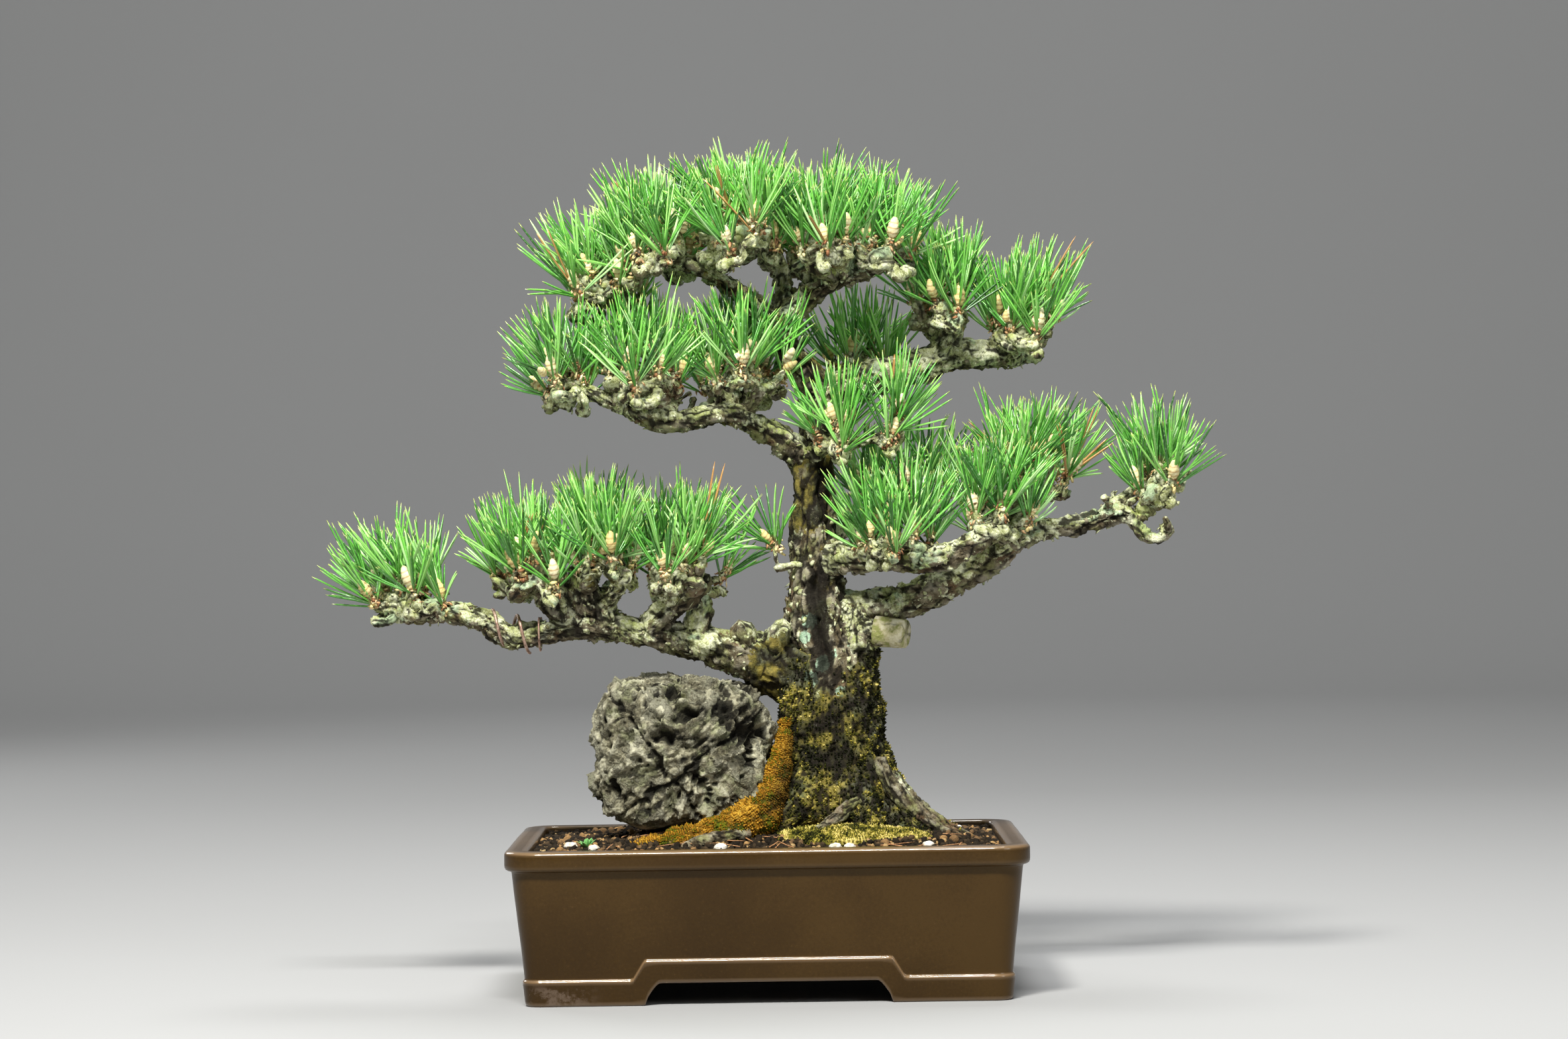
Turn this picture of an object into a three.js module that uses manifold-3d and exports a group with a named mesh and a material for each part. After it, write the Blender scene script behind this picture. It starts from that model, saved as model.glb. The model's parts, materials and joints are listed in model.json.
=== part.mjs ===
// A pine bonsai with a companion stone, planted in a glazed stoneware tray.
// Millimetres, +Z up, +X to the tree's right, +Y to its back.
// The origin is on the floor, under the middle of the tray.

import * as THREE from 'three';
import { mergeVertices } from 'three/addons/utils/BufferGeometryUtils.js';
import Module from 'manifold-3d';

const wasm = await Module();
wasm.setup();

// ---------------------------------------------------------------- driving dimensions

const gap = 0.35; // clearance left between pieces that touch
const tidyTolerance = 0.05; // edges shorter than this are dropped after a cut
const cutReach = 200; // long enough to pass through the whole tray

const tray = {
  height: 100,
  rimHalfWidth: 169, // half of the tray's longest side, at the rim
  rimHalfDepth: 125,
  rimHeight: 13,
  rimTopWidth: 15,
  rimOverhang: 4.5, // how far the rim stands out from the wall under it
  footHalfWidth: 155,
  cornerRadius: 9,
  wall: 10.5,
  footClearance: 14.4, // open height between the feet
  footWidth: 17,
  longGap: 79.5, // half of the gap between the feet, along the long side
  shortGap: 47,
  gapCove: 9.5, // the gap's ends curve in by this much towards its top
  floorTop: 23,
  relief: 1.6, // how far the raised band stands out from the wall
  bandHeight: 16.8, // top of the raised band at the corners
  apronHeight: 29.5, // top of the raised band over the gap between the feet
  bandSlopeRun: 7.5,
  drainHoleRadius: 13,
  drainHoleOffset: 74,
};

const soilTop = { edge: 95, crown: 109, centre: [28, 4], half: [152, 108], corner: 40 };

// Woody limbs: x, y, z and radius at each bend.
const trunkLine = [
  [46, 0, 70, 35], [47, 0, 112, 44], [47, 0, 134, 41.5], [45, 0, 159, 35], [44, 0, 180, 34.5],
  [44, 0, 200, 30], [43, 0, 216, 26], [38, 0, 238, 22.5], [35, 0, 264, 19], [34, 0, 290, 16.5],
  [33, 0, 316, 14], [34, 0, 340, 14], [38, 4, 363, 13.5], [40, 7, 384, 12.5], [31, 8, 406, 10.5],
  [17, 4, 427, 9], [11, 0, 446, 8],
];

// Swollen stretches of old wood against the front of the trunk.
const trunkColumns = [
  [[60, -8, 158, 20], [59, -9, 180, 17], [60, -8, 206, 15], [61, -7, 232, 13],
    [60, -4, 252, 10.5]],
  [[30, -14, 150, 17], [26, -16, 172, 15], [24, -14, 196, 14], [22, -8, 214, 13]],
];

const surfaceRoots = [
  [[62, -4, 150, 20], [94, -12, 113, 13], [118, -18, 100, 7], [138, -20, 90, 4]],
  [[58, 14, 126, 20], [84, 42, 106, 13], [104, 62, 92, 7]],
  [[54, -16, 130, 20], [62, -46, 112, 13], [72, -72, 94, 6]],
  [[34, -16, 130, 20], [8, -44, 110, 13], [-14, -62, 95, 6]],
  [[28, 8, 124, 19], [-6, 24, 106, 12], [-30, 36, 92, 7]],
  [[46, 18, 124, 20], [42, 48, 106, 12], [38, 72, 92, 7]],
];

const prunedStub = [[58, -2, 238, 11], [74, -10, 236, 9.5], [88, -18, 234, 8.5]];

const branches = {
  first_left_branch: [
    [[20, 0, 208, 17], [-8, -5, 219, 15.5], [-29, -10, 225, 13], [-50, -14, 230, 13],
      [-76, -18, 236, 13], [-101, -22, 242, 11.5], [-122, -25, 243, 9.5], [-148, -28, 237, 9],
      [-166, -30, 235, 9], [-186, -32, 246, 7.5], [-214, -34, 254, 6], [-241, -36, 259, 4]],
    [[-48, -14, 232, 11], [-42, -18, 254, 8.5], [-54, -22, 278, 6]],
    [[-104, -22, 244, 11], [-117, -24, 262, 11], [-113, -26, 284, 7]],
    [[-126, -25, 243, 9], [-140, -26, 260, 8.5], [-149, -28, 276, 6]],
  ],
  first_right_branch: [
    [[42, 2, 246, 15], [71, 0, 250, 13.5], [97, -4, 255, 12], [128, -8, 271, 11.5],
      [154, -12, 286, 10.5], [177, -14, 300, 8.5], [211, -14, 304, 7], [236, -14, 311, 6],
      [250, -14, 309, 5], [264, -14, 320, 4], [278, -14, 332, 3]],
    [[160, -12, 292, 9], [170, -6, 312, 8], [176, -2, 334, 5.5]],
    [[226, -14, 309, 6], [240, -6, 320, 5], [252, -2, 330, 3.5]],
  ],
  right_front_branch: [
    [[40, -4, 283, 12], [66, -24, 285, 10.5], [91, -42, 283, 9.5], [116, -52, 284, 9],
      [140, -52, 294, 7.5], [152, -48, 306, 5]],
    [[74, -30, 286, 9], [82, -44, 296, 6]],
  ],
  back_branch: [
    [[36, 4, 298, 11], [56, 34, 308, 8.5], [76, 58, 318, 6.5], [92, 76, 328, 4.5]],
  ],
  second_left_branch: [
    [[34, 2, 343, 12], [15, -8, 362, 9.5], [2, -14, 369, 8], [-12, -20, 378, 7.5],
      [-26, -24, 380, 7.5], [-47, -30, 377, 8], [-60, -34, 376, 8], [-81, -36, 381, 7],
      [-94, -40, 388, 6], [-108, -42, 394, 4.5], [-131, -46, 402, 2.5]],
    [[-24, -24, 381, 7], [-18, -12, 394, 6], [-12, -4, 406, 4.5]],
    [[-58, -33, 378, 7], [-68, -24, 392, 6], [-76, -18, 404, 4.5]],
  ],
  front_branch: [
    [[32, -2, 352, 8], [41, -25, 358, 5.5], [60, -38, 360, 4.5], [76, -44, 363, 3.5]],
  ],
  upper_right_branch: [
    [[38, 7, 388, 12], [66, 14, 402, 11.5], [104, 22, 411, 10.5], [140, 28, 420, 10],
      [169, 30, 420, 7.5], [188, 30, 416, 3.5]],
    [[118, 24, 414, 9], [126, 20, 434, 9], [124, 16, 452, 5.5]],
    [[66, 16, 402, 7], [70, 36, 404, 6], [72, 50, 412, 4]],
  ],
  crown_left_branch: [
    [[14, 1, 436, 8.5], [-7, -6, 456, 7], [-24, -9, 469, 6.5], [-51, -10, 482, 6],
      [-79, -10, 480, 5], [-102, -10, 470, 3]],
  ],
  crown_right_branch: [
    [[13, 1, 440, 8.5], [35, -6, 460, 7], [55, -12, 470, 6.5], [75, -16, 475, 5],
      [94, -18, 484, 3]],
  ],
  crown_top_branch: [
    [[11, 0, 443, 7], [16, 6, 470, 6], [4, 12, 492, 5], [-14, 12, 508, 3.5]],
  ],
  crown_back_branch: [
    [[12, 2, 441, 7], [30, 26, 462, 5.5], [40, 50, 478, 4]],
  ],
};

// Needle pads: the middle of the twigs' tips, how far they spread, how many lobes their
// tufts make, and which way the whole pad leans.
const pads = {
  needles_left_tip: { at: [-236, -36, 264], reach: [26, 26], lobes: 5, lean: -0.42 },
  needles_left_outer: { at: [-150, -30, 281], reach: [22, 42], lobes: 6, lean: -0.25 },
  needles_left_middle: { at: [-110, -24, 289], reach: [22, 48], lobes: 6, lean: -0.05 },
  needles_left_inner: { at: [-60, -22, 283], reach: [30, 44], lobes: 7, lean: 0.2 },
  needles_trunk_shoot: { at: [7, -16, 294], reach: [2, 2], lobes: 3, lean: -0.6, length: 44 },
  needles_right_low_front: { at: [84, -50, 297], reach: [30, 24], lobes: 5, lean: -0.05 },
  needles_right_middle: { at: [146, -44, 312], reach: [26, 26], lobes: 5, lean: 0.1 },
  needles_right_outer: { at: [181, 4, 338], reach: [28, 40], lobes: 6, lean: 0.1 },
  needles_right_tip: { at: [262, -10, 334], reach: [16, 24], lobes: 5, lean: -0.05 },
  needles_back: { at: [92, 66, 330], reach: [34, 26], lobes: 6, lean: 0.1 },
  needles_second_left_outer: { at: [-128, -44, 404], reach: [17, 26], lobes: 5, lean: -0.35 },
  needles_second_left_middle: { at: [-80, -26, 409], reach: [28, 44], lobes: 7, lean: -0.1 },
  needles_second_left_inner: { at: [-16, -8, 410], reach: [30, 48], lobes: 7, lean: 0 },
  needles_front: { at: [48, -38, 365], reach: [16, 12], lobes: 5, lean: 0 },
  needles_front_right: { at: [84, -48, 367], reach: [10, 8], lobes: 4, lean: 0.35 },
  needles_upper_right_inner: { at: [122, 16, 456], reach: [22, 36], lobes: 6, lean: -0.05 },
  needles_upper_right_outer: { at: [172, 24, 440], reach: [24, 38], lobes: 6, lean: 0.15 },
  needles_upper_back: { at: [70, 52, 416], reach: [24, 20], lobes: 4, lean: -0.1 },
  needles_crown_left_tip: { at: [-106, -8, 469], reach: [22, 40], lobes: 6, lean: -0.35 },
  needles_crown_left: { at: [-70, -6, 494], reach: [24, 54], lobes: 7, lean: -0.15 },
  needles_crown_middle: { at: [-18, -2, 502], reach: [32, 60], lobes: 9, lean: 0 },
  needles_crown_right: { at: [42, -6, 497], reach: [30, 54], lobes: 8, lean: 0.05 },
  needles_crown_right_tip: { at: [92, -12, 493], reach: [24, 44], lobes: 7, lean: 0.25 },
};

const needleLength = 52;
const padDome = 9; // how much higher a pad's middle tufts start than its edge tufts
const twigDepth = 18; // depth of the knotted twigs under the needles

const rock = { centre: [-55, -28, 156], half: [61, 38, 51] };

const pebbles = [
  [-30, -94, 4.4], [44, -100, 4], [53, -98, 3.6], [-128, -66, 4.4], [-112, -84, 3.8],
  [104, -92, 3.8], [128, 40, 4.2],
];

const wire = {
  radius: 0.8, clearance: 1.3, limbRadius: 9.6, turns: 2.25, steps: 28,
  start: [-171, -31, 237], end: [-154, -29, 236],
};

// ---------------------------------------------------------------- helpers

// A closed three.js geometry as a solid that can be joined and cut.
function solid(geometry) {
  const bare = geometry.clone();
  bare.deleteAttribute('normal');
  bare.deleteAttribute('uv');
  const merged = mergeVertices(bare, 1e-4);
  const corners = merged.index.array;
  const kept = [];
  for (let i = 0; i < corners.length; i += 3) {
    const [a, b, c] = [corners[i], corners[i + 1], corners[i + 2]];
    if (a !== b && b !== c && c !== a) {
      kept.push(a, b, c);
    }
  }
  return new wasm.Manifold(new wasm.Mesh({
    numProp: 3,
    vertProperties: new Float32Array(merged.attributes.position.array),
    triVerts: new Uint32Array(kept),
  }));
}

function joined(solids) {
  return solids.reduce((whole, piece) => whole.add(piece));
}

function cutBy(body, tools) {
  return tools.reduce((rest, tool) => rest.subtract(tool), body);
}

// The biggest single body that a cut leaves, with sliver edges removed.
function mainBody(body) {
  const bodies = body.simplify(tidyTolerance).decompose();
  return bodies.sort((a, b) => b.volume() - a.volume())[0];
}

// A closed surface from a stack of rings with the same number of points, from the first ring
// to the last, each end closed by a fan about its middle.
function ringStack(rings) {
  const count = rings[0].length;
  const points = rings.flat();
  const middle = (ring) => ring.reduce((sum, p) => sum.add(p), new THREE.Vector3())
    .divideScalar(count);
  points.push(middle(rings[0]), middle(rings[rings.length - 1]));
  const startPole = points.length - 2;
  const endPole = points.length - 1;
  const lastRing = (rings.length - 1) * count;
  const faces = [];
  for (let side = 0; side < count; side += 1) {
    const next = (side + 1) % count;
    faces.push(startPole, next, side);
    faces.push(endPole, lastRing + side, lastRing + next);
    for (let ring = 0; ring < lastRing; ring += count) {
      faces.push(ring + side, ring + next, ring + count + next);
      faces.push(ring + side, ring + count + next, ring + count + side);
    }
  }
  const geometry = new THREE.BufferGeometry().setFromPoints(points);
  geometry.setIndex(faces);
  return geometry;
}

// A rounded rectangle at one height, anticlockwise from above.
function roundedRing({ z, halfX, halfY, radius, centre = [0, 0], cornerSteps = 3 }) {
  const ring = [];
  for (let corner = 0; corner < 4; corner += 1) {
    const cornerX = (corner === 0 || corner === 3 ? 1 : -1) * (halfX - radius);
    const cornerY = (corner < 2 ? 1 : -1) * (halfY - radius);
    for (let step = 0; step <= cornerSteps; step += 1) {
      const turn = (corner + step / cornerSteps) * Math.PI / 2;
      ring.push(new THREE.Vector3(
        centre[0] + cornerX + radius * Math.cos(turn),
        centre[1] + cornerY + radius * Math.sin(turn),
        z,
      ));
    }
  }
  return ring;
}

// A woody limb: a tube along a smooth curve through its bends, its radius following theirs,
// with shallow ridges that turn slowly along it.
function limb(bends, { grow = 0, sides = 7, ridges = 0.07 } = {}) {
  const curve = new THREE.CatmullRomCurve3(bends.map(([x, y, z]) => new THREE.Vector3(x, y, z)));
  const steps = bends.length - 1;
  const rings = [];
  let across = new THREE.Vector3(0, 1, 0);
  for (let step = 0; step <= steps; step += 1) {
    const along = step / steps;
    const centre = curve.getPoint(along);
    const forward = curve.getTangent(along);
    across = across.clone().addScaledVector(forward, -across.dot(forward)).normalize();
    const upward = new THREE.Vector3().crossVectors(forward, across);
    const radius = bends[step][3];
    const ring = [];
    for (let side = 0; side < sides; side += 1) {
      const turn = side / sides * 2 * Math.PI;
      const reach = radius * (1 + ridges * Math.sin(3 * turn + step * 1.3)) + grow;
      ring.push(centre.clone()
        .addScaledVector(across, reach * Math.cos(turn))
        .addScaledVector(upward, reach * Math.sin(turn)));
    }
    rings.push(ring);
  }
  return solid(ringStack(rings));
}

// A smooth wire of one radius through its points.
function wireAlong(points, radius) {
  const bends = points.map((p) => [...p, radius]);
  return limb(bends, { sides: 6, ridges: 0 });
}

// A flat outline pushed both ways along one level axis, past both sides of the tray.
function prism(outline, axis) {
  const shape = new THREE.Shape(outline.map(([a, z]) => new THREE.Vector2(a, z)));
  const geometry = new THREE.ExtrudeGeometry(shape, {
    depth: 2 * cutReach, bevelEnabled: false, curveSegments: 4,
  });
  geometry.translate(0, 0, -cutReach);
  geometry.rotateX(Math.PI / 2);
  if (axis === 'x') {
    geometry.rotateZ(Math.PI / 2);
  }
  return solid(geometry);
}

// A rounded lump of stone: a ball stretched to its half sizes, squared off and dented.
function stone(centre, half, { detail, squareness = 1, dents = 0, grow = 0, phase = 0 }) {
  const geometry = new THREE.IcosahedronGeometry(1, detail);
  geometry.deleteAttribute('normal');
  geometry.deleteAttribute('uv');
  const position = geometry.attributes.position;
  const point = new THREE.Vector3();
  for (let i = 0; i < position.count; i += 1) {
    point.fromBufferAttribute(position, i).normalize();
    const { x, y, z } = point;
    const power = 2 * squareness;
    const norm = (Math.abs(x) ** power + Math.abs(y) ** power + Math.abs(z) ** power)
      ** (1 / power);
    const dent = 1 + dents * (Math.sin(4 * x + 3 * z + phase) + Math.sin(5 * y - 4 * z + 2))
      + dents * 0.6 * Math.sin(9 * x - 7 * z + 3 * y + phase);
    const waist = 1 - 0.2 * Math.max(0, -z);
    const reach = dent / norm;
    position.setXYZ(
      i,
      centre[0] + (half[0] * waist * reach + grow) * x,
      centre[1] + (half[1] * waist * reach + grow) * y,
      centre[2] + (half[2] * reach + grow) * z,
    );
  }
  return solid(geometry);
}

// A pad of needle lobes: a lobed cushion, one lobe for each outer tuft, that opens from the
// twigs' tips to its widest at about half the needles' length, under a domed top.
function pad({ at, reach, lobes, lean, length = needleLength }, grow = 0) {
  const spread = 0.36 * length; // the needles' own reach beyond the twigs' tips
  const levels = [ // share of the twigs' spread, share of the needles' spread, share of height
    [0.4, 0.1, -twigDepth / length], [0.95, 0.3, -0.02], [1, 1, 0.45], [1, 1.1, 0.72],
    [0.72, 0.85, 0.93], [0.3, 0.4, 1],
  ];
  const sides = 2 * lobes;
  const rings = levels.map(([twigs, needles, rise]) => {
    const ring = [];
    for (let side = 0; side < sides; side += 1) {
      const turn = side / sides * 2 * Math.PI;
      const lobe = side % 2 === 0 ? 1 : 0.86;
      const out = needles * spread * lobe + grow;
      const edgeDrop = padDome * (twigs - 0.5);
      ring.push(new THREE.Vector3(
        at[0] + lean * Math.max(rise, 0) * length + (twigs * reach[0] * lobe + out) * Math.cos(turn),
        at[1] + (twigs * reach[1] * lobe + out) * Math.sin(turn),
        at[2] + rise * length - edgeDrop * Math.max(rise, 0) + grow * (rise > 0.5 ? 1 : -1),
      ));
    }
    return ring;
  });
  return solid(ringStack(rings));
}

const model = new THREE.Group();

function addPiece(name, body, colour, roughness, metalness = 0) {
  const mesh = mainBody(body).getMesh();
  const geometry = new THREE.BufferGeometry();
  geometry.setAttribute('position', new THREE.BufferAttribute(mesh.vertProperties, 3));
  geometry.setIndex(new THREE.BufferAttribute(mesh.triVerts, 1));
  geometry.computeVertexNormals();
  const material = new THREE.MeshStandardMaterial({ color: colour, roughness, metalness });
  const piece = new THREE.Mesh(geometry, material);
  piece.name = name;
  model.add(piece);
}

// ---------------------------------------------------------------- the tray

// Half width of the tray's leaning wall at a height, for the long side; the short side
// follows at the same lean.
function wallHalf(z) {
  const underRim = tray.rimHalfWidth - tray.rimOverhang;
  const climb = Math.min(z / (tray.height - tray.rimHeight), 1);
  return THREE.MathUtils.lerp(tray.footHalfWidth, underRim, climb);
}

function wallRing(z, outward) {
  const halfX = wallHalf(z) + outward;
  const halfY = halfX - (tray.rimHalfWidth - tray.rimHalfDepth);
  const radius = Math.max(tray.cornerRadius + outward, 3);
  return roundedRing({ z, halfX, halfY, radius });
}

// The raised band's outline on one side: low at the corners, stepping up over the gap
// between the feet.
function bandOutline(halfGap) {
  const { bandHeight, apronHeight } = tray;
  const slopeFoot = halfGap + tray.bandSlopeRun;
  return [
    [-cutReach, -1], [cutReach, -1], [cutReach, bandHeight], [slopeFoot, bandHeight],
    [halfGap, apronHeight], [-halfGap, apronHeight], [-slopeFoot, bandHeight],
    [-cutReach, bandHeight],
  ];
}

function footGapOutline(halfGap) {
  const { footClearance } = tray;
  const side = [
    [halfGap, -1], [halfGap - 0.2 * tray.gapCove, 0.5 * footClearance],
    [halfGap - tray.gapCove, footClearance],
  ];
  return [...side, ...side.map(([a, z]) => [-a, z]).reverse()];
}

function makeTray() {
  const rimBase = tray.height - tray.rimHeight;
  const body = solid(ringStack([wallRing(0, 0), wallRing(rimBase, 0), wallRing(tray.height, 0)]));
  const rimSections = [
    [rimBase, 0.5], [rimBase + 1.5, tray.rimOverhang - 1], [rimBase + 3, tray.rimOverhang],
    [tray.height - 2.5, tray.rimOverhang], [tray.height, tray.rimOverhang - 2.5],
  ];
  const rim = solid(ringStack(rimSections.map(([z, outward]) => wallRing(z, outward))));

  const bandShape = joined([
    prism(bandOutline(tray.longGap), 'y'),
    prism(bandOutline(tray.shortGap), 'x'),
  ]);
  const swollen = solid(ringStack([wallRing(0, tray.relief), wallRing(rimBase, tray.relief)]));
  const band = swollen.intersect(bandShape);

  const hollowInset = tray.rimTopWidth - tray.rimOverhang;
  const hollow = solid(ringStack([
    wallRing(tray.floorTop, -tray.wall - 3), wallRing(tray.floorTop + 5, -tray.wall),
    wallRing(rimBase, -tray.wall), wallRing(tray.height + 1, -hollowInset),
  ]));
  const underside = solid(ringStack([
    wallRing(-1, -tray.footWidth), wallRing(tray.footClearance, -tray.footWidth),
  ]));
  const cuts = [
    hollow,
    underside,
    prism(footGapOutline(tray.longGap), 'y'),
    prism(footGapOutline(tray.shortGap), 'x'),
  ];
  for (const side of [-1, 1]) {
    const hole = new THREE.CylinderGeometry(
      tray.drainHoleRadius, tray.drainHoleRadius, 2 * tray.floorTop, 16);
    hole.rotateX(Math.PI / 2);
    hole.translate(side * tray.drainHoleOffset, 0, tray.floorTop);
    cuts.push(solid(hole));
  }
  return cutBy(joined([body, rim, band]), cuts);
}

// ---------------------------------------------------------------- drain screens

const screen = { half: 21, thickness: 1.4, mesh: 9, bar: 2.2 };
const clip = { halfSpan: 10, footRun: 9, archHeight: 2.5 };
const screenTop = tray.floorTop + gap + screen.thickness;
const clipTop = screenTop + gap + wire.radius;

// A square of coarse plastic net laid over a drain hole.
function makeScreen(side) {
  const x = side * tray.drainHoleOffset;
  const z = screenTop - screen.thickness / 2;
  const plate = new THREE.BoxGeometry(2 * screen.half, 2 * screen.half, screen.thickness);
  plate.translate(x, 0, z);
  const cuts = [];
  const pitch = screen.mesh + screen.bar;
  for (const column of [-1, 0, 1]) {
    for (const row of [-1, 0, 1]) {
      const window = new THREE.BoxGeometry(screen.mesh, screen.mesh, 3 * screen.thickness);
      window.translate(x + column * pitch, row * pitch, z);
      cuts.push(solid(window));
    }
  }
  return cutBy(solid(plate), cuts);
}

// The wire that holds a screen: across its middle, down through the hole and out under the
// tray's floor.
function makeScreenClip(side) {
  const x = side * tray.drainHoleOffset;
  const under = tray.footClearance - wire.radius - gap;
  const half = [
    [0, clipTop], [clip.halfSpan - 1.5, clipTop], [clip.halfSpan, clipTop - clip.archHeight],
    [clip.halfSpan, under + 3.5], [clip.halfSpan + 2, under - 0.6],
    [clip.halfSpan + clip.footRun, under],
  ];
  const other = half.slice(1).reverse().map(([y, z]) => [-y, z]);
  return wireAlong([...other, ...half].map(([y, z]) => [x, y, z]), wire.radius);
}

// The room in the soil for a screen and the wire across it.
function screenPocket(side) {
  const x = side * tray.drainHoleOffset;
  const width = 2 * (screen.half + gap);
  const plate = new THREE.BoxGeometry(width, width, 2 * (screen.thickness + 2 * gap));
  plate.translate(x, 0, tray.floorTop);
  const wireWidth = 2 * (wire.radius + gap);
  const channel = new THREE.BoxGeometry(
    wireWidth, 2 * (clip.halfSpan + wireWidth), 2 * (clipTop + wireWidth / 2 - tray.floorTop));
  channel.translate(x, 0, tray.floorTop);
  return solid(plate).add(solid(channel));
}

// ---------------------------------------------------------------- soil, stone and moss

function makeSoil() {
  const edge = (z, inset) => wallRing(z, -tray.wall - inset - gap);
  const { centre, half, corner } = soilTop;
  const rings = [
    edge(tray.floorTop + gap, 3.5), edge(tray.floorTop + 5, 0.5), edge(soilTop.edge - 9, 0.2),
    edge(soilTop.edge, 1.5),
  ];
  for (const out of [0.86, 0.68, 0.45, 0.2]) {
    const rise = (1 - out * out) ** 1.3;
    rings.push(roundedRing({
      z: THREE.MathUtils.lerp(soilTop.edge + 1, soilTop.crown, rise),
      halfX: half[0] * out,
      halfY: half[1] * out,
      radius: corner * out,
      centre: centre.map((c) => c * (1 - out)),
    }));
  }
  return solid(ringStack(rings));
}

function makeRock(grow = 0) {
  return stone(rock.centre, rock.half, {
    detail: 3, squareness: 1.45, dents: 0.035, grow, phase: 1,
  });
}

// Moss packed into the corner between the stone and the trunk, running down to the soil.
function makeMossBank(grow = 0) {
  return limb([
    [10, -24, 168, 7], [6, -34, 150, 11], [-4, -44, 130, 15], [-24, -56, 112, 15],
    [-52, -66, 104, 11], [-84, -68, 100, 6],
  ], { grow, sides: 8 });
}

// Moss over the roots in front of the trunk.
function makeMossMat(grow = 0) {
  return stone([56, -58, 101], [46, 24, 11], { detail: 1, grow, dents: 0.03 });
}

// ---------------------------------------------------------------- putting it together

const barkColour = 0x6f6350;
const trunkSolid = (grow = 0) => joined([
  limb(trunkLine, { grow, sides: 9 }),
  ...trunkColumns.map((column) => limb(column, { grow })),
  ...surfaceRoots.map((root) => limb(root, { grow })),
  limb(prunedStub, { grow }),
]);

addPiece('tray', makeTray(), 0x5f4428, 0.3);

const trunkTool = trunkSolid(gap);
const trunk = trunkSolid();
addPiece('trunk', trunk, barkColour, 0.95);

const limbTools = [];
for (const [name, limbs] of Object.entries(branches)) {
  const [bough, ...shoots] = limbs;
  const make = (grow) => joined([
    limb(bough, { grow }),
    ...shoots.map((shoot) => limb(shoot, { grow, sides: 6 })),
  ]);
  addPiece(name, cutBy(make(0), [trunkTool, ...limbTools]), barkColour, 0.95);
  limbTools.push(make(gap));
}

const padTools = [];
const woodTools = [trunkTool, ...limbTools];
for (const [name, spec] of Object.entries(pads)) {
  addPiece(name, cutBy(pad(spec), [...woodTools, ...padTools]), 0x4fa63a, 0.6);
  padTools.push(pad(spec, gap));
}

const rockTool = makeRock(gap);
addPiece('rock', cutBy(makeRock(), [trunkTool, ...limbTools]), 0x8f8676, 0.95);
const mossBankTool = makeMossBank(gap);
addPiece('moss_bank', cutBy(makeMossBank(), [trunkTool, rockTool]), 0x8a6a1c, 1);
const mossMatTool = makeMossMat(gap);
addPiece('moss_mat', cutBy(makeMossMat(), [trunkTool, rockTool, mossBankTool]), 0x6f6a1e, 1);

const pebbleTools = [];
pebbles.forEach(([x, y, size], i) => {
  const options = { detail: 1, squareness: 1.2, phase: i };
  const centre = [x, y, soilTop.edge + 2 + size / 2];
  const half = [size, size * 0.8, size * 0.65];
  addPiece(`pebble_${i + 1}`, stone(centre, half, options), 0xd8cdb4, 0.8);
  pebbleTools.push(stone(centre, half, { ...options, grow: gap }));
});

const buriedTools = [trunkTool, rockTool, mossBankTool, mossMatTool, ...pebbleTools];
for (const [side, word] of [[-1, 'left'], [1, 'right']]) {
  addPiece(`drain_screen_${word}`, makeScreen(side), 0x2c2f2c, 0.6);
  addPiece(`screen_clip_${word}`, makeScreenClip(side), 0xa06a3c, 0.4, 1);
  buriedTools.push(screenPocket(side));
}
addPiece('soil', cutBy(makeSoil(), buriedTools), 0x2f251a, 1);

// Two turns of copper training wire on the first left branch.
function makeTrainingWire() {
  const start = new THREE.Vector3(...wire.start);
  const end = new THREE.Vector3(...wire.end);
  const reach = wire.limbRadius + wire.clearance + wire.radius;
  const points = [];
  for (let step = 0; step <= wire.steps; step += 1) {
    const along = step / wire.steps;
    const turn = along * wire.turns * 2 * Math.PI;
    const { x, y, z } = start.clone().lerp(end, along);
    points.push([x, y + reach * Math.cos(turn), z + reach * Math.sin(turn)]);
  }
  return wireAlong(points, wire.radius);
}

addPiece('training_wire', cutBy(makeTrainingWire(), limbTools), 0xa06a3c, 0.4, 1);

export default model;
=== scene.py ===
import json
import math

import bpy
import numpy as np
from mathutils import Matrix, Vector

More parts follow.
